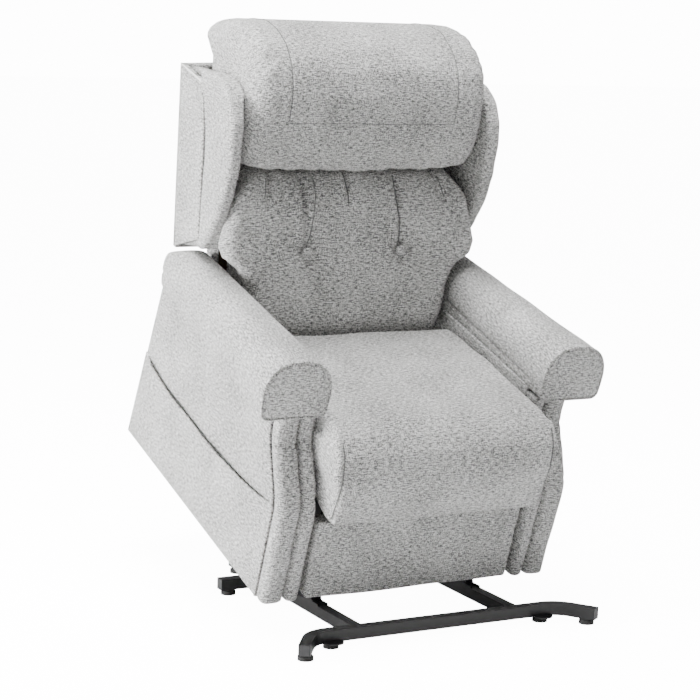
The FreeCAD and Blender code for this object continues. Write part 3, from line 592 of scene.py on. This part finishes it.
class CHAIR_OT_seat(bpy.types.Operator):
    """Builds the seat cushion with its waterfall front roll, and its piped end panels"""
    bl_idname = "chair.seat"
    bl_label = "Seat cushion"

    def execute(self, context):
        p = context.scene.chair_seat
        loop = outline([(0.418, 0.412), (0.22, 0.422), (0.0, 0.417), (-0.042, 0.405), (-0.068, 0.374),
                        (-0.077, 0.320), (-0.074, 0.262), (-0.062, 0.2125), (-0.040, 0.2135), (0.004, 0.226),
                        (0.006, 0.268), (0.412, 0.268)], 300, 0.0055)
        y, z = loop.T
        half = p.half_width + p.ear * step((-0.016 - y) / 0.022) * step((z - 0.268) / 0.07)
        radius = p.end_radius
        shell = bolster(loop, -half, half, radius, context.scene.chair_stage.rows, bulge=0.002)

        def swell(x, y, z):
            across = np.clip(x / p.half_width, -1, 1)
            top = step((z - 0.36) / 0.03) * step((y + 0.05) / 0.05)
            made = p.crown * top * (1 - across ** 4) * step((0.42 - y) / 0.16) * 1.2
            front = step((-0.03 - y) / 0.03)
            made = made + 0.006 * front * (1 - across ** 4) * bell(z - 0.32, 0.07)
            made = made + 0.0022 * ripples(x, y, z, 0.22, 3, (1.0, 1.6, 1.6)) * top
            made = made + 0.0012 * ripples(x, y, z, 0.07, 4, (0.5, 2.0, 2.0)) * (top + front) * 0.5
            made = made - 0.0040 * front * bell(np.abs(x) - p.roll_seam, 0.0035)
            tug = bell(np.abs(x) - 0.235, 0.03) * bell(z - 0.385, 0.025) * step((-0.01 - y) / 0.03)
            made = made + 0.0012 * tug * np.sin((np.abs(x) * 0.6 + z) * 200)
            return made
        shell.push(swell)
        # Dark cords along the roll's two end seams: painted shade in the seam grooves, together with the stitch
        # line.
        near = shell.corners[shell.corners[:, 1] < -0.03]
        z = np.linspace(0.219, 0.398, 90)
        seams = []
        for side in (-1, 1):
            y = face_depth(near, side * p.roll_seam, z)
            run = line(np.column_stack([np.full(90, side * p.roll_seam), y - 0.0003, z]), 90, 0.006)
            seams.append(piping(run, 0.0012, 6))
        make_piece("seat_cushion_cover", shell, cloth(), "chair", ["seat_cushion"])
        make_piece("seat_roll_seam_shade", joined(*seams), seam_shade(), "chair")
        return {"FINISHED"}


class CHAIR_OT_legrest(bpy.types.Operator):
    """Builds the padded legrest panel under the front roll"""
    bl_idname = "chair.legrest"
    bl_label = "Legrest pad"

    def execute(self, context):
        p = context.scene.chair_seat
        loop = outline([(-0.009, 0.005), (-0.009, 0.191), (0.0315, 0.189), (0.0315, 0.006)], 170, 0.0035)
        shell = bolster(loop, -p.leg_half, p.leg_half, 0.008, 120, bulge=0.001)

        def swell(x, y, z):
            front = step((0.004 - y) / 0.008)
            made = 0.007 * (1 - (x / p.leg_half) ** 4) * (1 - ((z - 0.098) / 0.098) ** 4).clip(0)
            return front * (made + 0.0018 * ripples(x, y, z, 0.09, 8, (0.6, 1, 1.6)))
        shell.push(swell)
        make_piece("legrest_cover", shell, cloth(), "legrest", ["legrest_pad"])
        return {"FINISHED"}


def front_line(z):
    """Depth of the arm's front edge at a height: the smoothed run over the knee and the neck."""
    profile = line([(0.0, 0.0), (-0.010, 0.235), (0.058, 0.355), (0.058, 0.4215)], 200, 0.016)
    return np.interp(z, profile[:, 1], profile[:, 0])


class CHAIR_OT_arm_fronts(bpy.types.Operator):
    """Builds the two padded upright flutes at the front of each arm"""
    bl_idname = "chair.arm_fronts"
    bl_label = "Arm fronts"

    def execute(self, context):
        a = context.scene.chair_arms
        seam = a.inner + 0.036
        wide = outline([(a.outer - 0.003, 0.026), (a.outer + 0.001, 0.010), (a.outer - 0.001, -0.004),
                        (a.outer - 0.010, -0.011), (seam + 0.020, -0.013), (seam + 0.006, -0.008),
                        (seam + 0.001, 0.004), (seam + 0.001, 0.026)], 110, 0.0032)
        slim = outline([(seam, 0.026), (seam, 0.004), (seam - 0.005, -0.007), (seam - 0.018, -0.0115),
                        (seam - 0.030, -0.008), (a.inner + 0.0005, 0.004), (a.inner + 0.0005, 0.026)],
                       90, 0.0032)

        def flute(loop, seed):
            def bent(grid):
                z = grid[:, :, 0]
                squeeze = 1 - 0.16 * bell(z - 0.372, 0.03) - 0.05 * bell(z - 0.24, 0.02)
                grid = grid.copy()
                middle = loop[:, 0].mean()
                grid[:, :, 1] = middle + (grid[:, :, 1] - middle) * (1 - 0.05 * bell(z - 0.372, 0.04))
                depth = grid[:, :, 2]
                grid[:, :, 2] = front_line(z) + np.where(depth < 0.01, 0.01 + (depth - 0.01) * squeeze, depth)
                return grid
            made = bolster(loop, 0.002, 0.4205, 0.006, 170, bulge=0.0005, shape=bent)
            c = made.corners
            made.corners = np.stack([c[:, 1], c[:, 2], c[:, 0]], 1)
            made.flat = [u[:, :, ::-1] for u in made.flat]
            made.outward()

            def swell(x, y, z):
                front = step((0.020 + front_line(z) - y) / 0.012)
                crease = bell(z - 0.345 - 0.15 * (x - 0.3), 0.006) + 0.7 * bell(z - 0.245, 0.005)
                return front * (0.0016 * ripples(x * 2, y * 2, z, 0.09, seed) - 0.0022 * crease)
            return made.push(swell)
        z = np.linspace(0.004, 0.416, 120)
        path = np.column_stack([np.full(120, a.outer + 0.0012), front_line(z) + 0.026, z])
        make_pair("chair",
                  ("arm_front_cover_", joined(flute(wide, 21), flute(slim, 22)), "arm_front_flutes_", 0.7),
                  ("arm_front_piping_", piping(path, a.piping), None, None))
        return {"FINISHED"}


class CHAIR_OT_arm_sides(bpy.types.Operator):
    """Builds the covered outer and inner side panels of both arms"""
    bl_idname = "chair.arm_sides"
    bl_label = "Arm sides"

    def execute(self, context):
        a = context.scene.chair_arms
        low = line([(0.026, 0.001), (0.016, 0.235), (0.084, 0.355), (0.084, 0.4205)], 30, 0.016)
        loop = outline([*low, (REAR_TOP, ARM_TALL), (0.7675, 0.001)], 420, 0.004)
        raised = step((loop[:, 1:] - 0.38) / 0.03) * step((0.60 - loop[:, :1]) / 0.04)
        inner = bolster(loop + np.array([0.0, 0.0115]) * raised, a.inner + 0.0005, a.inner + 0.0125, 0.004, 4,
                        bulge=0.0)
        outer = bolster(loop, a.outer - 0.0125, a.outer - 0.002, 0.004, 3, bulge=0.0)
        make_pair("chair", ("arm_side_cover_", joined(outer, side_sheet(a)), "arm_outer_panel_", 0.4))
        both = joined(inner, inner.mirrored())
        make_piece("arm_inner_covers", both, cloth(), "chair", ["arm_inner_panels"])
        zz, ss = np.meshgrid(np.linspace(0.001, ARM_TALL, 60), np.linspace(0, 1, 24), indexing="ij")
        uneven = ripples(ss * 0.088, zz, 0 * zz, 0.07, 35)
        bow = step(np.minimum(ss, 1 - ss) / 0.12) * (0.0018 + 0.0008 * uneven)
        across = a.inner + 0.001 + (a.outer - a.inner - 0.002) * ss
        back = np.stack([across, rear_edge(zz, 0.002) + bow * 0.5, zz], -1)
        shell = sheet_slab(back, np.array([0, -0.003, 0]), (0, 2))
        make_pair("chair", ("arm_rear_cover_", shell, None, None))
        return {"FINISHED"}


def rear_edge(z, forward=0.0):
    """Depth of the arm's sloping rear edge at a height, moved forwards."""
    return REAR_FOOT - z * (REAR_FOOT - REAR_TOP) / ARM_TALL - forward


def side_sheet(a):
    """The visible face of an arm's side: a sheet between the front run and the sloping rear edge, bowed out a
    little in the middle and drawn in at its edges."""
    s, t = np.meshgrid(np.linspace(0, 1, 170), np.linspace(0, 1, 110), indexing="ij")
    z = 0.001 + t * 0.4195
    y0 = front_line(z) + 0.0262
    y = y0 + (rear_edge(z) - y0) * s
    edge = step(np.minimum(s, 1 - s) / 0.035) * step(np.minimum(t, 1 - t) / 0.04)
    wave = 0.0014 * ripples(y, z, 0 * z, 0.16, 31) + 0.0008 * ripples(y, z, 0 * z, 0.05, 32)
    x = a.outer - 0.0015 + edge * (0.0030 + wave)
    grid = np.stack([x, y, z], -1)
    return sheet_slab(grid, np.array([-0.004, 0, 0]))


class CHAIR_OT_arm_tops(bpy.types.Operator):
    """Builds the padded rolled arm tops with their piped front caps"""
    bl_idname = "chair.arm_tops"
    bl_label = "Arm tops"

    def execute(self, context):
        a = context.scene.chair_arms
        half, tall = a.pad_half, a.pad_top - a.pad_low
        up = np.linspace(0, math.pi, 40)
        arch = np.column_stack([half * np.sign(np.cos(up)) * np.abs(np.cos(up)) ** 0.80,
                                tall * (0.40 + 0.60 * np.sin(up) ** 0.85)])
        base = [(-half + 0.001, 0.030), (-half + 0.003, 0.010), (-half + 0.012, 0.001), (half - 0.012, 0.001),
                (half - 0.003, 0.010), (half - 0.001, 0.030)]
        loop = outline([*arch, *base], 200, 0.0045)
        y0, y1 = 0.0245, 0.676

        def run(grid):
            grid = grid.copy()
            y = grid[:, :, 0]
            t = np.clip((y - y0) / (y1 - y0), 0, 1)
            share = 1 - (1 - a.pad_rear_half / half) * t
            centre = 0.3345 - 0.62 * half * (1 - share)
            top = tall - 0.018 * t
            swell = 1 + 0.02 * bell(t - 0.05, 0.09)
            grid[:, :, 1] = centre + grid[:, :, 1] * share * swell
            z = a.pad_low + grid[:, :, 2] * top / tall
            cut = 0.425 + (0.0835 - (y - 0.652) * 0.4937) / 0.8696
            over = z - cut
            z = np.where(over > -0.02, cut - 0.02 + 0.02 * np.tanh((over + 0.02) / 0.02), z)
            grid[:, :, 2] = np.maximum(z, a.pad_low + 0.0005)
            return grid
        shell = bolster(loop, y0, y1, 0.010, 190, bulge=0.004, shape=run)
        c = shell.corners
        shell.corners = np.stack([c[:, 1], c[:, 0], c[:, 2]], 1)
        shell.outward()

        def swell(x, y, z):
            top = step((z - 0.45) / 0.03) * step((0.62 - y) / 0.05) * step((y - 0.04) / 0.03)
            made = 0.0016 * ripples(x, y, z, 0.11, 41, (1, 0.7, 1)) * top
            tuck = bell(z - 0.447 - 0.02 * y, 0.004) * step((y - 0.05) / 0.03)
            return made - 0.0025 * tuck
        shell.push(swell)
        ring = loop * 0.985
        path = np.column_stack([0.3345 + ring[:, 0] * 1.02, np.full(len(ring), y0 + 0.0035),
                                a.pad_low + ring[:, 1]])
        path = np.vstack([path, path[:2]])
        make_pair("chair", ("arm_top_cover_", shell, "arm_top_pad_", 0.8),
                  ("arm_cap_piping_", piping(path, a.piping), None, None))
        return {"FINISHED"}


class CHAIR_OT_pocket(bpy.types.Operator):
    """Builds the long side pocket with its sagging hemmed mouth"""
    bl_idname = "chair.pocket"
    bl_label = "Side pocket"

    def execute(self, context):
        a = context.scene.chair_arms
        s, t = np.meshgrid(np.linspace(0, 1, 150), np.linspace(0, 1, 70), indexing="ij")
        edge = line([(-0.004, 0.231), (0.10, 0.214), (0.23, 0.207), (0.40, 0.205), (0.58, 0.211),
                     (0.731, 0.231)], 160, 0.03)
        y_top = edge[0, 0] + (edge[-1, 0] - edge[0, 0]) * s
        z_top = np.interp(y_top, edge[:, 0], edge[:, 1])
        z = 0.005 + (z_top - 0.005) * t
        y0 = front_line(z) + 0.028
        y = y0 + (rear_edge(z, 0.0015) - y0) * s
        sides = step(np.minimum(s, 1 - s) / 0.09)
        foot = step(t / 0.16)
        wave = (ripples(y, z, 0 * z, 0.20, 51, (1, 0.6, 1)) * 0.0022
                + ripples(y, z, 0 * z, 0.07, 52, (1, 0.5, 1)) * 0.0007)
        stitch = bell((1 - t) * (z_top - 0.005) - 0.024, 0.0016)
        x = a.outer + 0.0022 + sides * foot * (a.pocket_room + 0.0015 + wave) - 0.0014 * stitch * sides
        shell = sheet_slab(-np.stack([x, -y, -z], -1), np.array([0.0030, 0, 0]))
        make_piece("side_pocket_cover", shell, cloth(), "chair", ["side_pocket"])
        return {"FINISHED"}


class CHAIR_OT_lumbar(bpy.types.Operator):
    """Builds the lumbar cushion with its pleats and the two covered buttons"""
    bl_idname = "chair.lumbar"
    bl_label = "Lumbar cushion"

    def execute(self, context):
        p = context.scene.chair_back
        loop = outline([(0.475, 0.348), (0.446, 0.372), (0.441, 0.43), (0.459, 0.515), (0.473, 0.590),
                        (0.494, 0.665), (0.516, 0.715), (0.545, 0.744), (0.60, 0.748), (0.69, 0.742),
                        (0.645, 0.545), (0.613, 0.350)], 300, 0.011)
        y, z = loop.T
        half = np.interp(z, [0.345, 0.41, 0.50, 0.545, 0.575, 0.605, 0.65, 0.70, 0.745],
                         [0.226, 0.240, 0.250, 0.272, 0.312, 0.322, 0.312, 0.298, 0.286])
        behind = step((y - 0.505) / 0.05)
        half = half * (1 - behind) + np.minimum(half, np.where(z < 0.56, 0.238, 0.268)) * behind
        shell = bolster(loop, -half, half, 0.030, context.scene.chair_stage.rows + 20, bulge=0.003)

        def swell(x, y, z):
            front = step((0.60 - y) / 0.05)
            ax = np.abs(x)
            made = 0.010 * (1 - (ax / 0.30) ** 2).clip(0) * bell(z - 0.47, 0.10)
            away = np.hypot(ax - p.button_x, (z - p.button_z) * 0.9)
            made = made - 0.011 * bell(away, 0.019) - 0.006 * bell(away, 0.055)
            above = step((z - p.button_z) / 0.02) * step((0.75 - z) / 0.03)
            fade = 0.55 + 0.45 * step((z - 0.64) / 0.1)
            fold = x - np.sign(x) * p.button_x + 0.10 * (z - p.button_z)
            made = made - 0.0130 * above * fade * bell(fold, 0.0048)
            made = made + 0.006 * above * bell(np.abs(fold) - 0.018, 0.011)
            top = step((z - 0.675) / 0.06)
            made = made - 0.0100 * top * bell(x + 0.02, 0.005)
            made = made + 0.004 * top * bell(np.abs(x + 0.02) - 0.02, 0.012)
            made = made - 0.0090 * top * bell(ax - 0.205 - 0.25 * (0.75 - z), 0.006)
            below = step((p.button_z - z) / 0.02) * step((z - 0.50) / 0.04)
            made = made - 0.0030 * below * bell(ax - p.button_x + 0.08 * (p.button_z - z), 0.007)
            side = bell(z - p.button_z - 0.10 * (ax - p.button_x), 0.009) * step((ax - p.button_x) / 0.02)
            made = made - 0.0022 * side * step((0.25 - ax) / 0.08)
            made = made + 0.0022 * ripples(x, y, z, 0.12, 61, (1.2, 1, 0.7))
            made = made + 0.0010 * ripples(x, y, z, 0.05, 62, (1.8, 1, 0.6))
            low = step((0.42 - z) / 0.05) * np.sin(ax * 95 + z * 30) * 0.0018
            return front * (made + low)
        shell.push(swell)
        # Dark cords laid along the pleats and the top creases: painted shade in the folds.
        near = shell.corners[shell.corners[:, 1] < 0.60]
        folds = []
        runs = ((p.button_x, 0.10, 0.604, 0.738), (-p.button_x, -0.10, 0.604, 0.738),
                (-0.02, 0.0, 0.690, 0.741), (0.214, 0.25, 0.700, 0.738), (-0.214, -0.25, 0.700, 0.738))
        for start, tilt, low, high in runs:
            z = np.linspace(low, high, 60)
            x = start - tilt * (z - p.button_z) if abs(start) < 0.2 else start + tilt * (0.75 - z)
            y = face_depth(near, x, z)
            folds.append(piping(line(np.column_stack([x, y - 0.0004, z]), 60, 0.006), 0.0012, 6))
        make_piece("lumbar_cover", shell, cloth(), "backrest", ["lumbar_cushion"])
        make_piece("lumbar_pleat_shade", joined(*folds), seam_shade(), "backrest")
        turn = np.linspace(0, 2 * math.pi, 40, endpoint=False)
        u, v = np.meshgrid(np.linspace(0, 1, 14), turn, indexing="ij")
        r = p.button_radius * np.sin(u[1:] * math.pi * 0.62)
        h = 0.0060 * np.cos(u[1:] * math.pi * 0.62)
        lean = p.lean + 0.03
        face, dimple = 0.4735, 0.0047
        out = []
        for side in (-1, 1):
            lx, lz = r * np.cos(v[1:]), r * np.sin(v[1:])
            hole = 1 - 0.22 * bell(r, 0.0026)
            px = side * p.button_x + lx
            py = face - h * hole * math.cos(lean) + lz * math.sin(lean)
            pz = p.button_z + lz * math.cos(lean) + h * hole * math.sin(lean)
            grid = np.stack([px, py, pz], -1)
            tip = np.array([[side * p.button_x, face - dimple * math.cos(lean),
                             p.button_z + dimple * math.sin(lean)], grid[-1].mean(0)])
            out.append(plain_tube(grid, tip))
        make_piece("button_covers", joined(*out), cloth(), "backrest", ["back_buttons"])
        return {"FINISHED"}


class CHAIR_OT_head(bpy.types.Operator):
    """Builds the rolled head cushion with its stitched middle panel"""
    bl_idname = "chair.head"
    bl_label = "Head cushion"

    def execute(self, context):
        p = context.scene.chair_back
        loop = outline([(0.560, 0.7585), (0.519, 0.772), (0.500, 0.812), (0.494, 0.865), (0.499, 0.935),
                        (0.521, 0.990), (0.562, 1.030), (0.618, 1.050), (0.680, 1.050), (0.745, 1.033),
                        (0.797, 1.012), (0.824, 0.990), (0.771, 0.989), (0.7142, 0.7585)], 320, 0.010)
        rows = context.scene.chair_stage.rows + 20
        shell = bolster(loop, -p.head_half, p.head_half, 0.050, rows, bulge=0.006)

        def swell(x, y, z):
            ax = np.abs(x)
            front = step((0.72 - y) / 0.06)
            made = 0.006 * (1 - (ax / 0.29) ** 4).clip(0)
            seam = bell(ax - p.panel_seam, 0.0026) * step((z - 0.876) / 0.006)
            cross = bell(z - 0.881, 0.0022) * step((p.panel_seam - ax) / 0.004)
            made = made - 0.0042 * seam - 0.0016 * cross
            puff = bell(ax - p.panel_seam - 0.009, 0.006) + bell(ax - p.panel_seam + 0.009, 0.006)
            made = made + 0.0016 * puff * step((z - 0.88) / 0.02)
            corner = step((ax - 0.225) / 0.035) * step((z - 0.94) / 0.05) * step((0.30 - ax) / 0.03)
            made = made + 0.0022 * corner * np.sin(y * 190 + ax * 60)
            made = made * (1 - 0.75 * step((z - 1.0) / 0.04))
            lower = step((0.80 - z) / 0.03)
            made = made + 0.0022 * lower * np.sin(ax * 120 + 0.6) * 0.7 + 0.004 * lower * bell(x, 0.16)
            made = made + 0.0020 * ripples(x, y, z, 0.13, 71, (0.8, 1, 1.1))
            made = made + 0.0009 * ripples(x, y, z, 0.05, 72, (0.6, 1.4, 1.4))
            return front * made
        shell.push(swell)
        # Dark cords along the two panel seams and the cross seam: painted shade in the seam grooves, together
        # with the stitch line.
        count = len(loop)
        rings = shell.corners[:-2].reshape(-1, count, 3)
        across = rings[:, :, 0].mean(1)
        seams = []
        for side in (-1, 1):
            ring = rings[int(np.argmin(np.abs(across - side * p.panel_seam)))]
            ring = ring[(ring[:, 2] > 0.882) & (ring[:, 1] < 0.77)]
            turn = np.argsort(np.arctan2(ring[:, 2] - 0.88, 0.66 - ring[:, 1]))
            seams.append(piping(line(ring[turn], 160), 0.0013, 6))
        centre = rings[len(rings) // 2]
        place = int(np.argmin(np.abs(centre[:, 2] - 0.8815) + 10 * (centre[:, 1] > 0.55)))
        middle = np.abs(across) < p.panel_seam
        seams.append(piping(line(rings[middle, place], 160), 0.0009, 6))
        make_piece("head_cushion_cover", shell, cloth(), "backrest", ["head_cushion"])
        make_piece("head_cushion_seam_shade", joined(*seams), seam_shade(), "backrest")
        return {"FINISHED"}


class CHAIR_OT_wings(bpy.types.Operator):
    """Builds both wings: a flat outer panel, a padded forward part and the piping between them"""
    bl_idname = "chair.wings"
    bl_label = "Wings"

    def execute(self, context):
        p = context.scene.chair_back
        loop = outline([(0.562, 0.560), (0.531, 0.610), (0.507, 0.662), (0.491, 0.715), (0.486, 0.770),
                        (0.490, 0.830), (0.505, 0.884), (0.536, 0.924), (0.588, 0.943), (0.640, 0.941),
                        (0.700, 0.924), (0.794, 0.904), (0.697, 0.514)], 280, 0.008)
        y, z = loop.T
        seam = np.interp(z, [0.575, 0.684, 0.813, 0.90, 0.95], [0.579, 0.605, 0.635, 0.671, 0.70])
        behind = step((y - seam + 0.002) / 0.006)
        outer = p.wing_outer + 0.001 - 0.0165 * behind
        inner = p.wing_inner + 0.020 * step((0.575 - y) / 0.07)
        shell = bolster(loop, inner, outer, 0.0118, 26, bulge=0.002)

        def swell(x, y, z):
            return 0.0015 * ripples(x, y, z, 0.10, 81) + 0.0008 * ripples(x, y, z, 0.04, 82)
        shell.push(swell)
        s, t = np.meshgrid(np.linspace(0, 1, 60), np.linspace(0, 1, 130), indexing="ij")
        z_low, z_high = 0.578 - 0.066 * s, 0.905 + 0.002 * s
        zz = z_low + (z_high - z_low) * t
        front = np.interp(zz, [0.50, 0.575, 0.684, 0.813, 0.90, 0.95],
                          [0.566, 0.580, 0.606, 0.636, 0.672, 0.695])
        rear = lean_line(zz, 0.013)
        yy = front + (rear - front) * s
        edge = step(np.minimum(s, 1 - s) / 0.07) * step(np.minimum(t, 1 - t) / 0.04)
        xx = p.wing_outer - 0.0020 + edge * (0.0035 + 0.0010 * ripples(yy, zz, 0 * zz, 0.09, 83))
        panel = sheet_slab(np.stack([xx, yy, zz], -1), np.array([-0.011, 0, 0]))
        run = np.stack([xx[0], yy[0] - 0.001, zz[0]], -1)
        over = np.stack([xx[:, -1], yy[:, -1], zz[:, -1] + 0.001], -1)
        cord = piping(line(np.vstack([run, over[1:]]), 190, 0.006) + np.array([0.0022, 0, 0]), 0.0024)
        make_pair("backrest", ("wing_pad_cover_", shell, "wing_pad_", 0.75),
                  ("wing_panel_cover_", panel, "wing_panel_", 0.4), ("wing_piping_", cord, None, None))
        return {"FINISHED"}


class CHAIR_OT_rear(bpy.types.Operator):
    """Builds the rear cover of the backrest and the valance between the arms"""
    bl_idname = "chair.rear"
    bl_label = "Rear covers"

    def execute(self, context):
        p = context.scene.chair_back
        wide = p.wing_outer - 0.002

        def slab(low, high, half, proud, count):
            loop = outline([(lean_line(low, 0.0118), low), (lean_line(high, 0.0118), high),
                            (lean_line(high, -proud), high), (lean_line(low, -proud), low)], count, 0.0018)

            def swell(x, y, z):
                back = step((y - lean_line(z, 0.004)) / 0.003)
                bow = (1 - (x / 0.34) ** 4).clip(0) * step((z - 0.52) / 0.08) * step((0.9845 - z) / 0.03)
                return back * (0.0032 * bow + 0.0012 * ripples(x, y, z, 0.16, 91) * bow)
            return bolster(loop, -half, half, 0.0045, 150, bulge=0.0).push(swell)
        shell = joined(slab(0.3375, 0.9845, 0.2495, 0.0, 320), slab(0.5058, 0.9055, wide, 0.0004, 220))
        make_piece("rear_cover", shell, cloth(), "backrest", ["back_rear_cover"])
        t, s = np.meshgrid(np.linspace(0, 1, 90), np.linspace(0, 1, 14), indexing="ij")
        z = 0.340 + t * 0.640
        front, behind = lean_line(z, 0.075), lean_line(z, 0.010)
        gusset = np.stack([0.2512 + 0.0012 * np.sin(s * math.pi), front + (behind - front) * s, z], -1)
        side = sheet_slab(gusset, np.array([0.0016, 0, 0]))
        make_pair("backrest", ("back_side_cover_", side, None, None))
        slope = (0.684 - 0.770) / 0.495
        loop = outline([(0.759, 0.005), (0.769, 0.005), (0.769 + slope * 0.295, 0.300),
                        (0.759 + slope * 0.295, 0.300)], 200, 0.0018)
        low = bolster(loop, -0.2612, 0.2612, 0.003, 120, bulge=0.0)

        def sag(x, y, z):
            back = step((y - 0.764 - slope * z) / 0.003)
            return back * 0.0015 * ripples(x, y, z, 0.12, 92)
        low.push(sag)
        make_piece("valance_cover", low, cloth(), "chair", ["rear_valance"])
        return {"FINISHED"}


class CHAIR_OT_stage(bpy.types.Operator):
    """Adds the pale floor, the soft lights and the camera"""
    bl_idname = "chair.stage"
    bl_label = "Stage"

    def execute(self, context):
        p = context.scene.chair_stage
        h = p.floor_half
        mesh = bpy.data.meshes.new("floor")
        mesh.from_pydata([(-h, -h, 0), (h, -h, 0), (h, h, 0), (-h, h, 0)], [], [(0, 1, 2, 3)])
        floor = bpy.data.objects.new("floor", mesh)
        context.scene.collection.objects.link(floor)
        f = Finish("pale floor")
        f.done(Base_Color=(0.93, 0.93, 0.93, 1), Roughness=0.9, Specular_IOR_Level=0.05)
        glow = f.node("ShaderNodeEmission", Color=(1, 1, 1, 1), Strength=p.floor_glow)
        both = f.node("ShaderNodeAddShader", i0=Sock(f, f.shader.outputs[0]), i1=glow)
        seen = f.node("ShaderNodeLightPath", out="Is Camera Ray")
        pick = f.node("ShaderNodeMixShader", i0=seen, i1=Sock(f, f.shader.outputs[0]), i2=both)
        final = next(n for n in f.tree.nodes if n.type == "OUTPUT_MATERIAL")
        f.put(final.inputs["Surface"], pick)
        mesh.materials.append(f.material)
        world = bpy.data.worlds.new("soft white room")
        context.scene.world = world
        world.use_nodes = True
        tree = world.node_tree
        sky = next(n for n in tree.nodes if n.type == "BACKGROUND")
        sky.inputs["Color"].default_value = (1, 1, 1, 1)
        seen = tree.nodes.new("ShaderNodeLightPath")
        level = tree.nodes.new("ShaderNodeMapRange")
        level.inputs["To Min"].default_value = p.room
        level.inputs["To Max"].default_value = p.backdrop
        tree.links.new(seen.outputs["Is Camera Ray"], level.inputs["Value"])
        tree.links.new(level.outputs[0], sky.inputs["Strength"])
        lamps = (("key", (-4.2, 0.7, 0.95), 1.6, p.key), ("fill", (2.4, -3.4, 1.6), 2.2, p.fill),
                 ("top", (-0.5, -0.3, 3.9), 2.0, p.top))
        for name, place, size, power in lamps:
            data = bpy.data.lights.new(name, "AREA")
            data.shape, data.size, data.energy = "DISK", size, power
            lamp = bpy.data.objects.new(name, data)
            context.scene.collection.objects.link(lamp)
            lamp.location = place
            lamp.rotation_mode = "QUATERNION"
            lamp.rotation_quaternion = (Vector(LIGHTS_AIM) - Vector(place)).to_track_quat("-Z", "Y")
        level_share = math.cos(CAMERA_RISE)
        back = Vector((math.sin(CAMERA_AZIMUTH) * level_share, -math.cos(CAMERA_AZIMUTH) * level_share,
                       math.sin(CAMERA_RISE)))
        data = bpy.data.cameras.new("camera")
        data.lens, data.sensor_width = p.lens, 36.0
        data.clip_start, data.clip_end = 0.05, 200
        camera = bpy.data.objects.new("camera", data)
        context.scene.collection.objects.link(camera)
        camera.location = CAMERA_PLACE
        camera.rotation_mode = "QUATERNION"
        camera.rotation_quaternion = (-back).to_track_quat("-Z", "Y") @ Quaternion((0, 0, 1), p.roll)
        context.scene.camera = camera
        return {"FINISHED"}


class CHAIR_PT_panel(bpy.types.Panel):
    """Lists the chair's pieces and their sizes."""
    bl_label = "Lift recliner chair"
    bl_idname = "CHAIR_PT_panel"
    bl_space_type = "VIEW_3D"
    bl_region_type = "UI"
    bl_category = "Chair"

    def draw(self, context):
        for name in STEPS:
            self.layout.operator("chair." + name)
        for title in SIZES:
            box = self.layout.box()
            group = getattr(context.scene, title)
            for key in group.bl_rna.properties.keys():
                if key not in ("rna_type", "name"):
                    box.prop(group, key)


STEPS = ("finishes", "seat", "legrest", "arm_fronts", "arm_sides", "arm_tops", "pocket", "lumbar", "head",
         "wings", "rear", "stage")
SIZES = {"chair_body": ChairBodySizes, "chair_seat": SeatSizes, "chair_back": BackSizes, "chair_arms": ArmSizes,
         "chair_finishes": Finishes, "chair_stage": StageSizes}
CLASSES = (*SIZES.values(), CHAIR_OT_finishes, CHAIR_OT_seat, CHAIR_OT_legrest, CHAIR_OT_arm_fronts,
           CHAIR_OT_arm_sides, CHAIR_OT_arm_tops, CHAIR_OT_pocket, CHAIR_OT_lumbar, CHAIR_OT_head,
           CHAIR_OT_wings, CHAIR_OT_rear, CHAIR_OT_stage, CHAIR_PT_panel)


def register():
    """Adds the classes and the size groups."""
    for item in CLASSES:
        bpy.utils.register_class(item)
    for title, group in SIZES.items():
        setattr(bpy.types.Scene, title, PointerProperty(type=group))


def unregister():
    """Takes them away again."""
    for title in SIZES:
        delattr(bpy.types.Scene, title)
    for item in reversed(CLASSES):
        bpy.utils.unregister_class(item)


def main():
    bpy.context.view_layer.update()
    register()
    for name in STEPS:
        getattr(bpy.ops.chair, name)()
    bpy.context.view_layer.update()


if __name__ == "__main__":
    main()
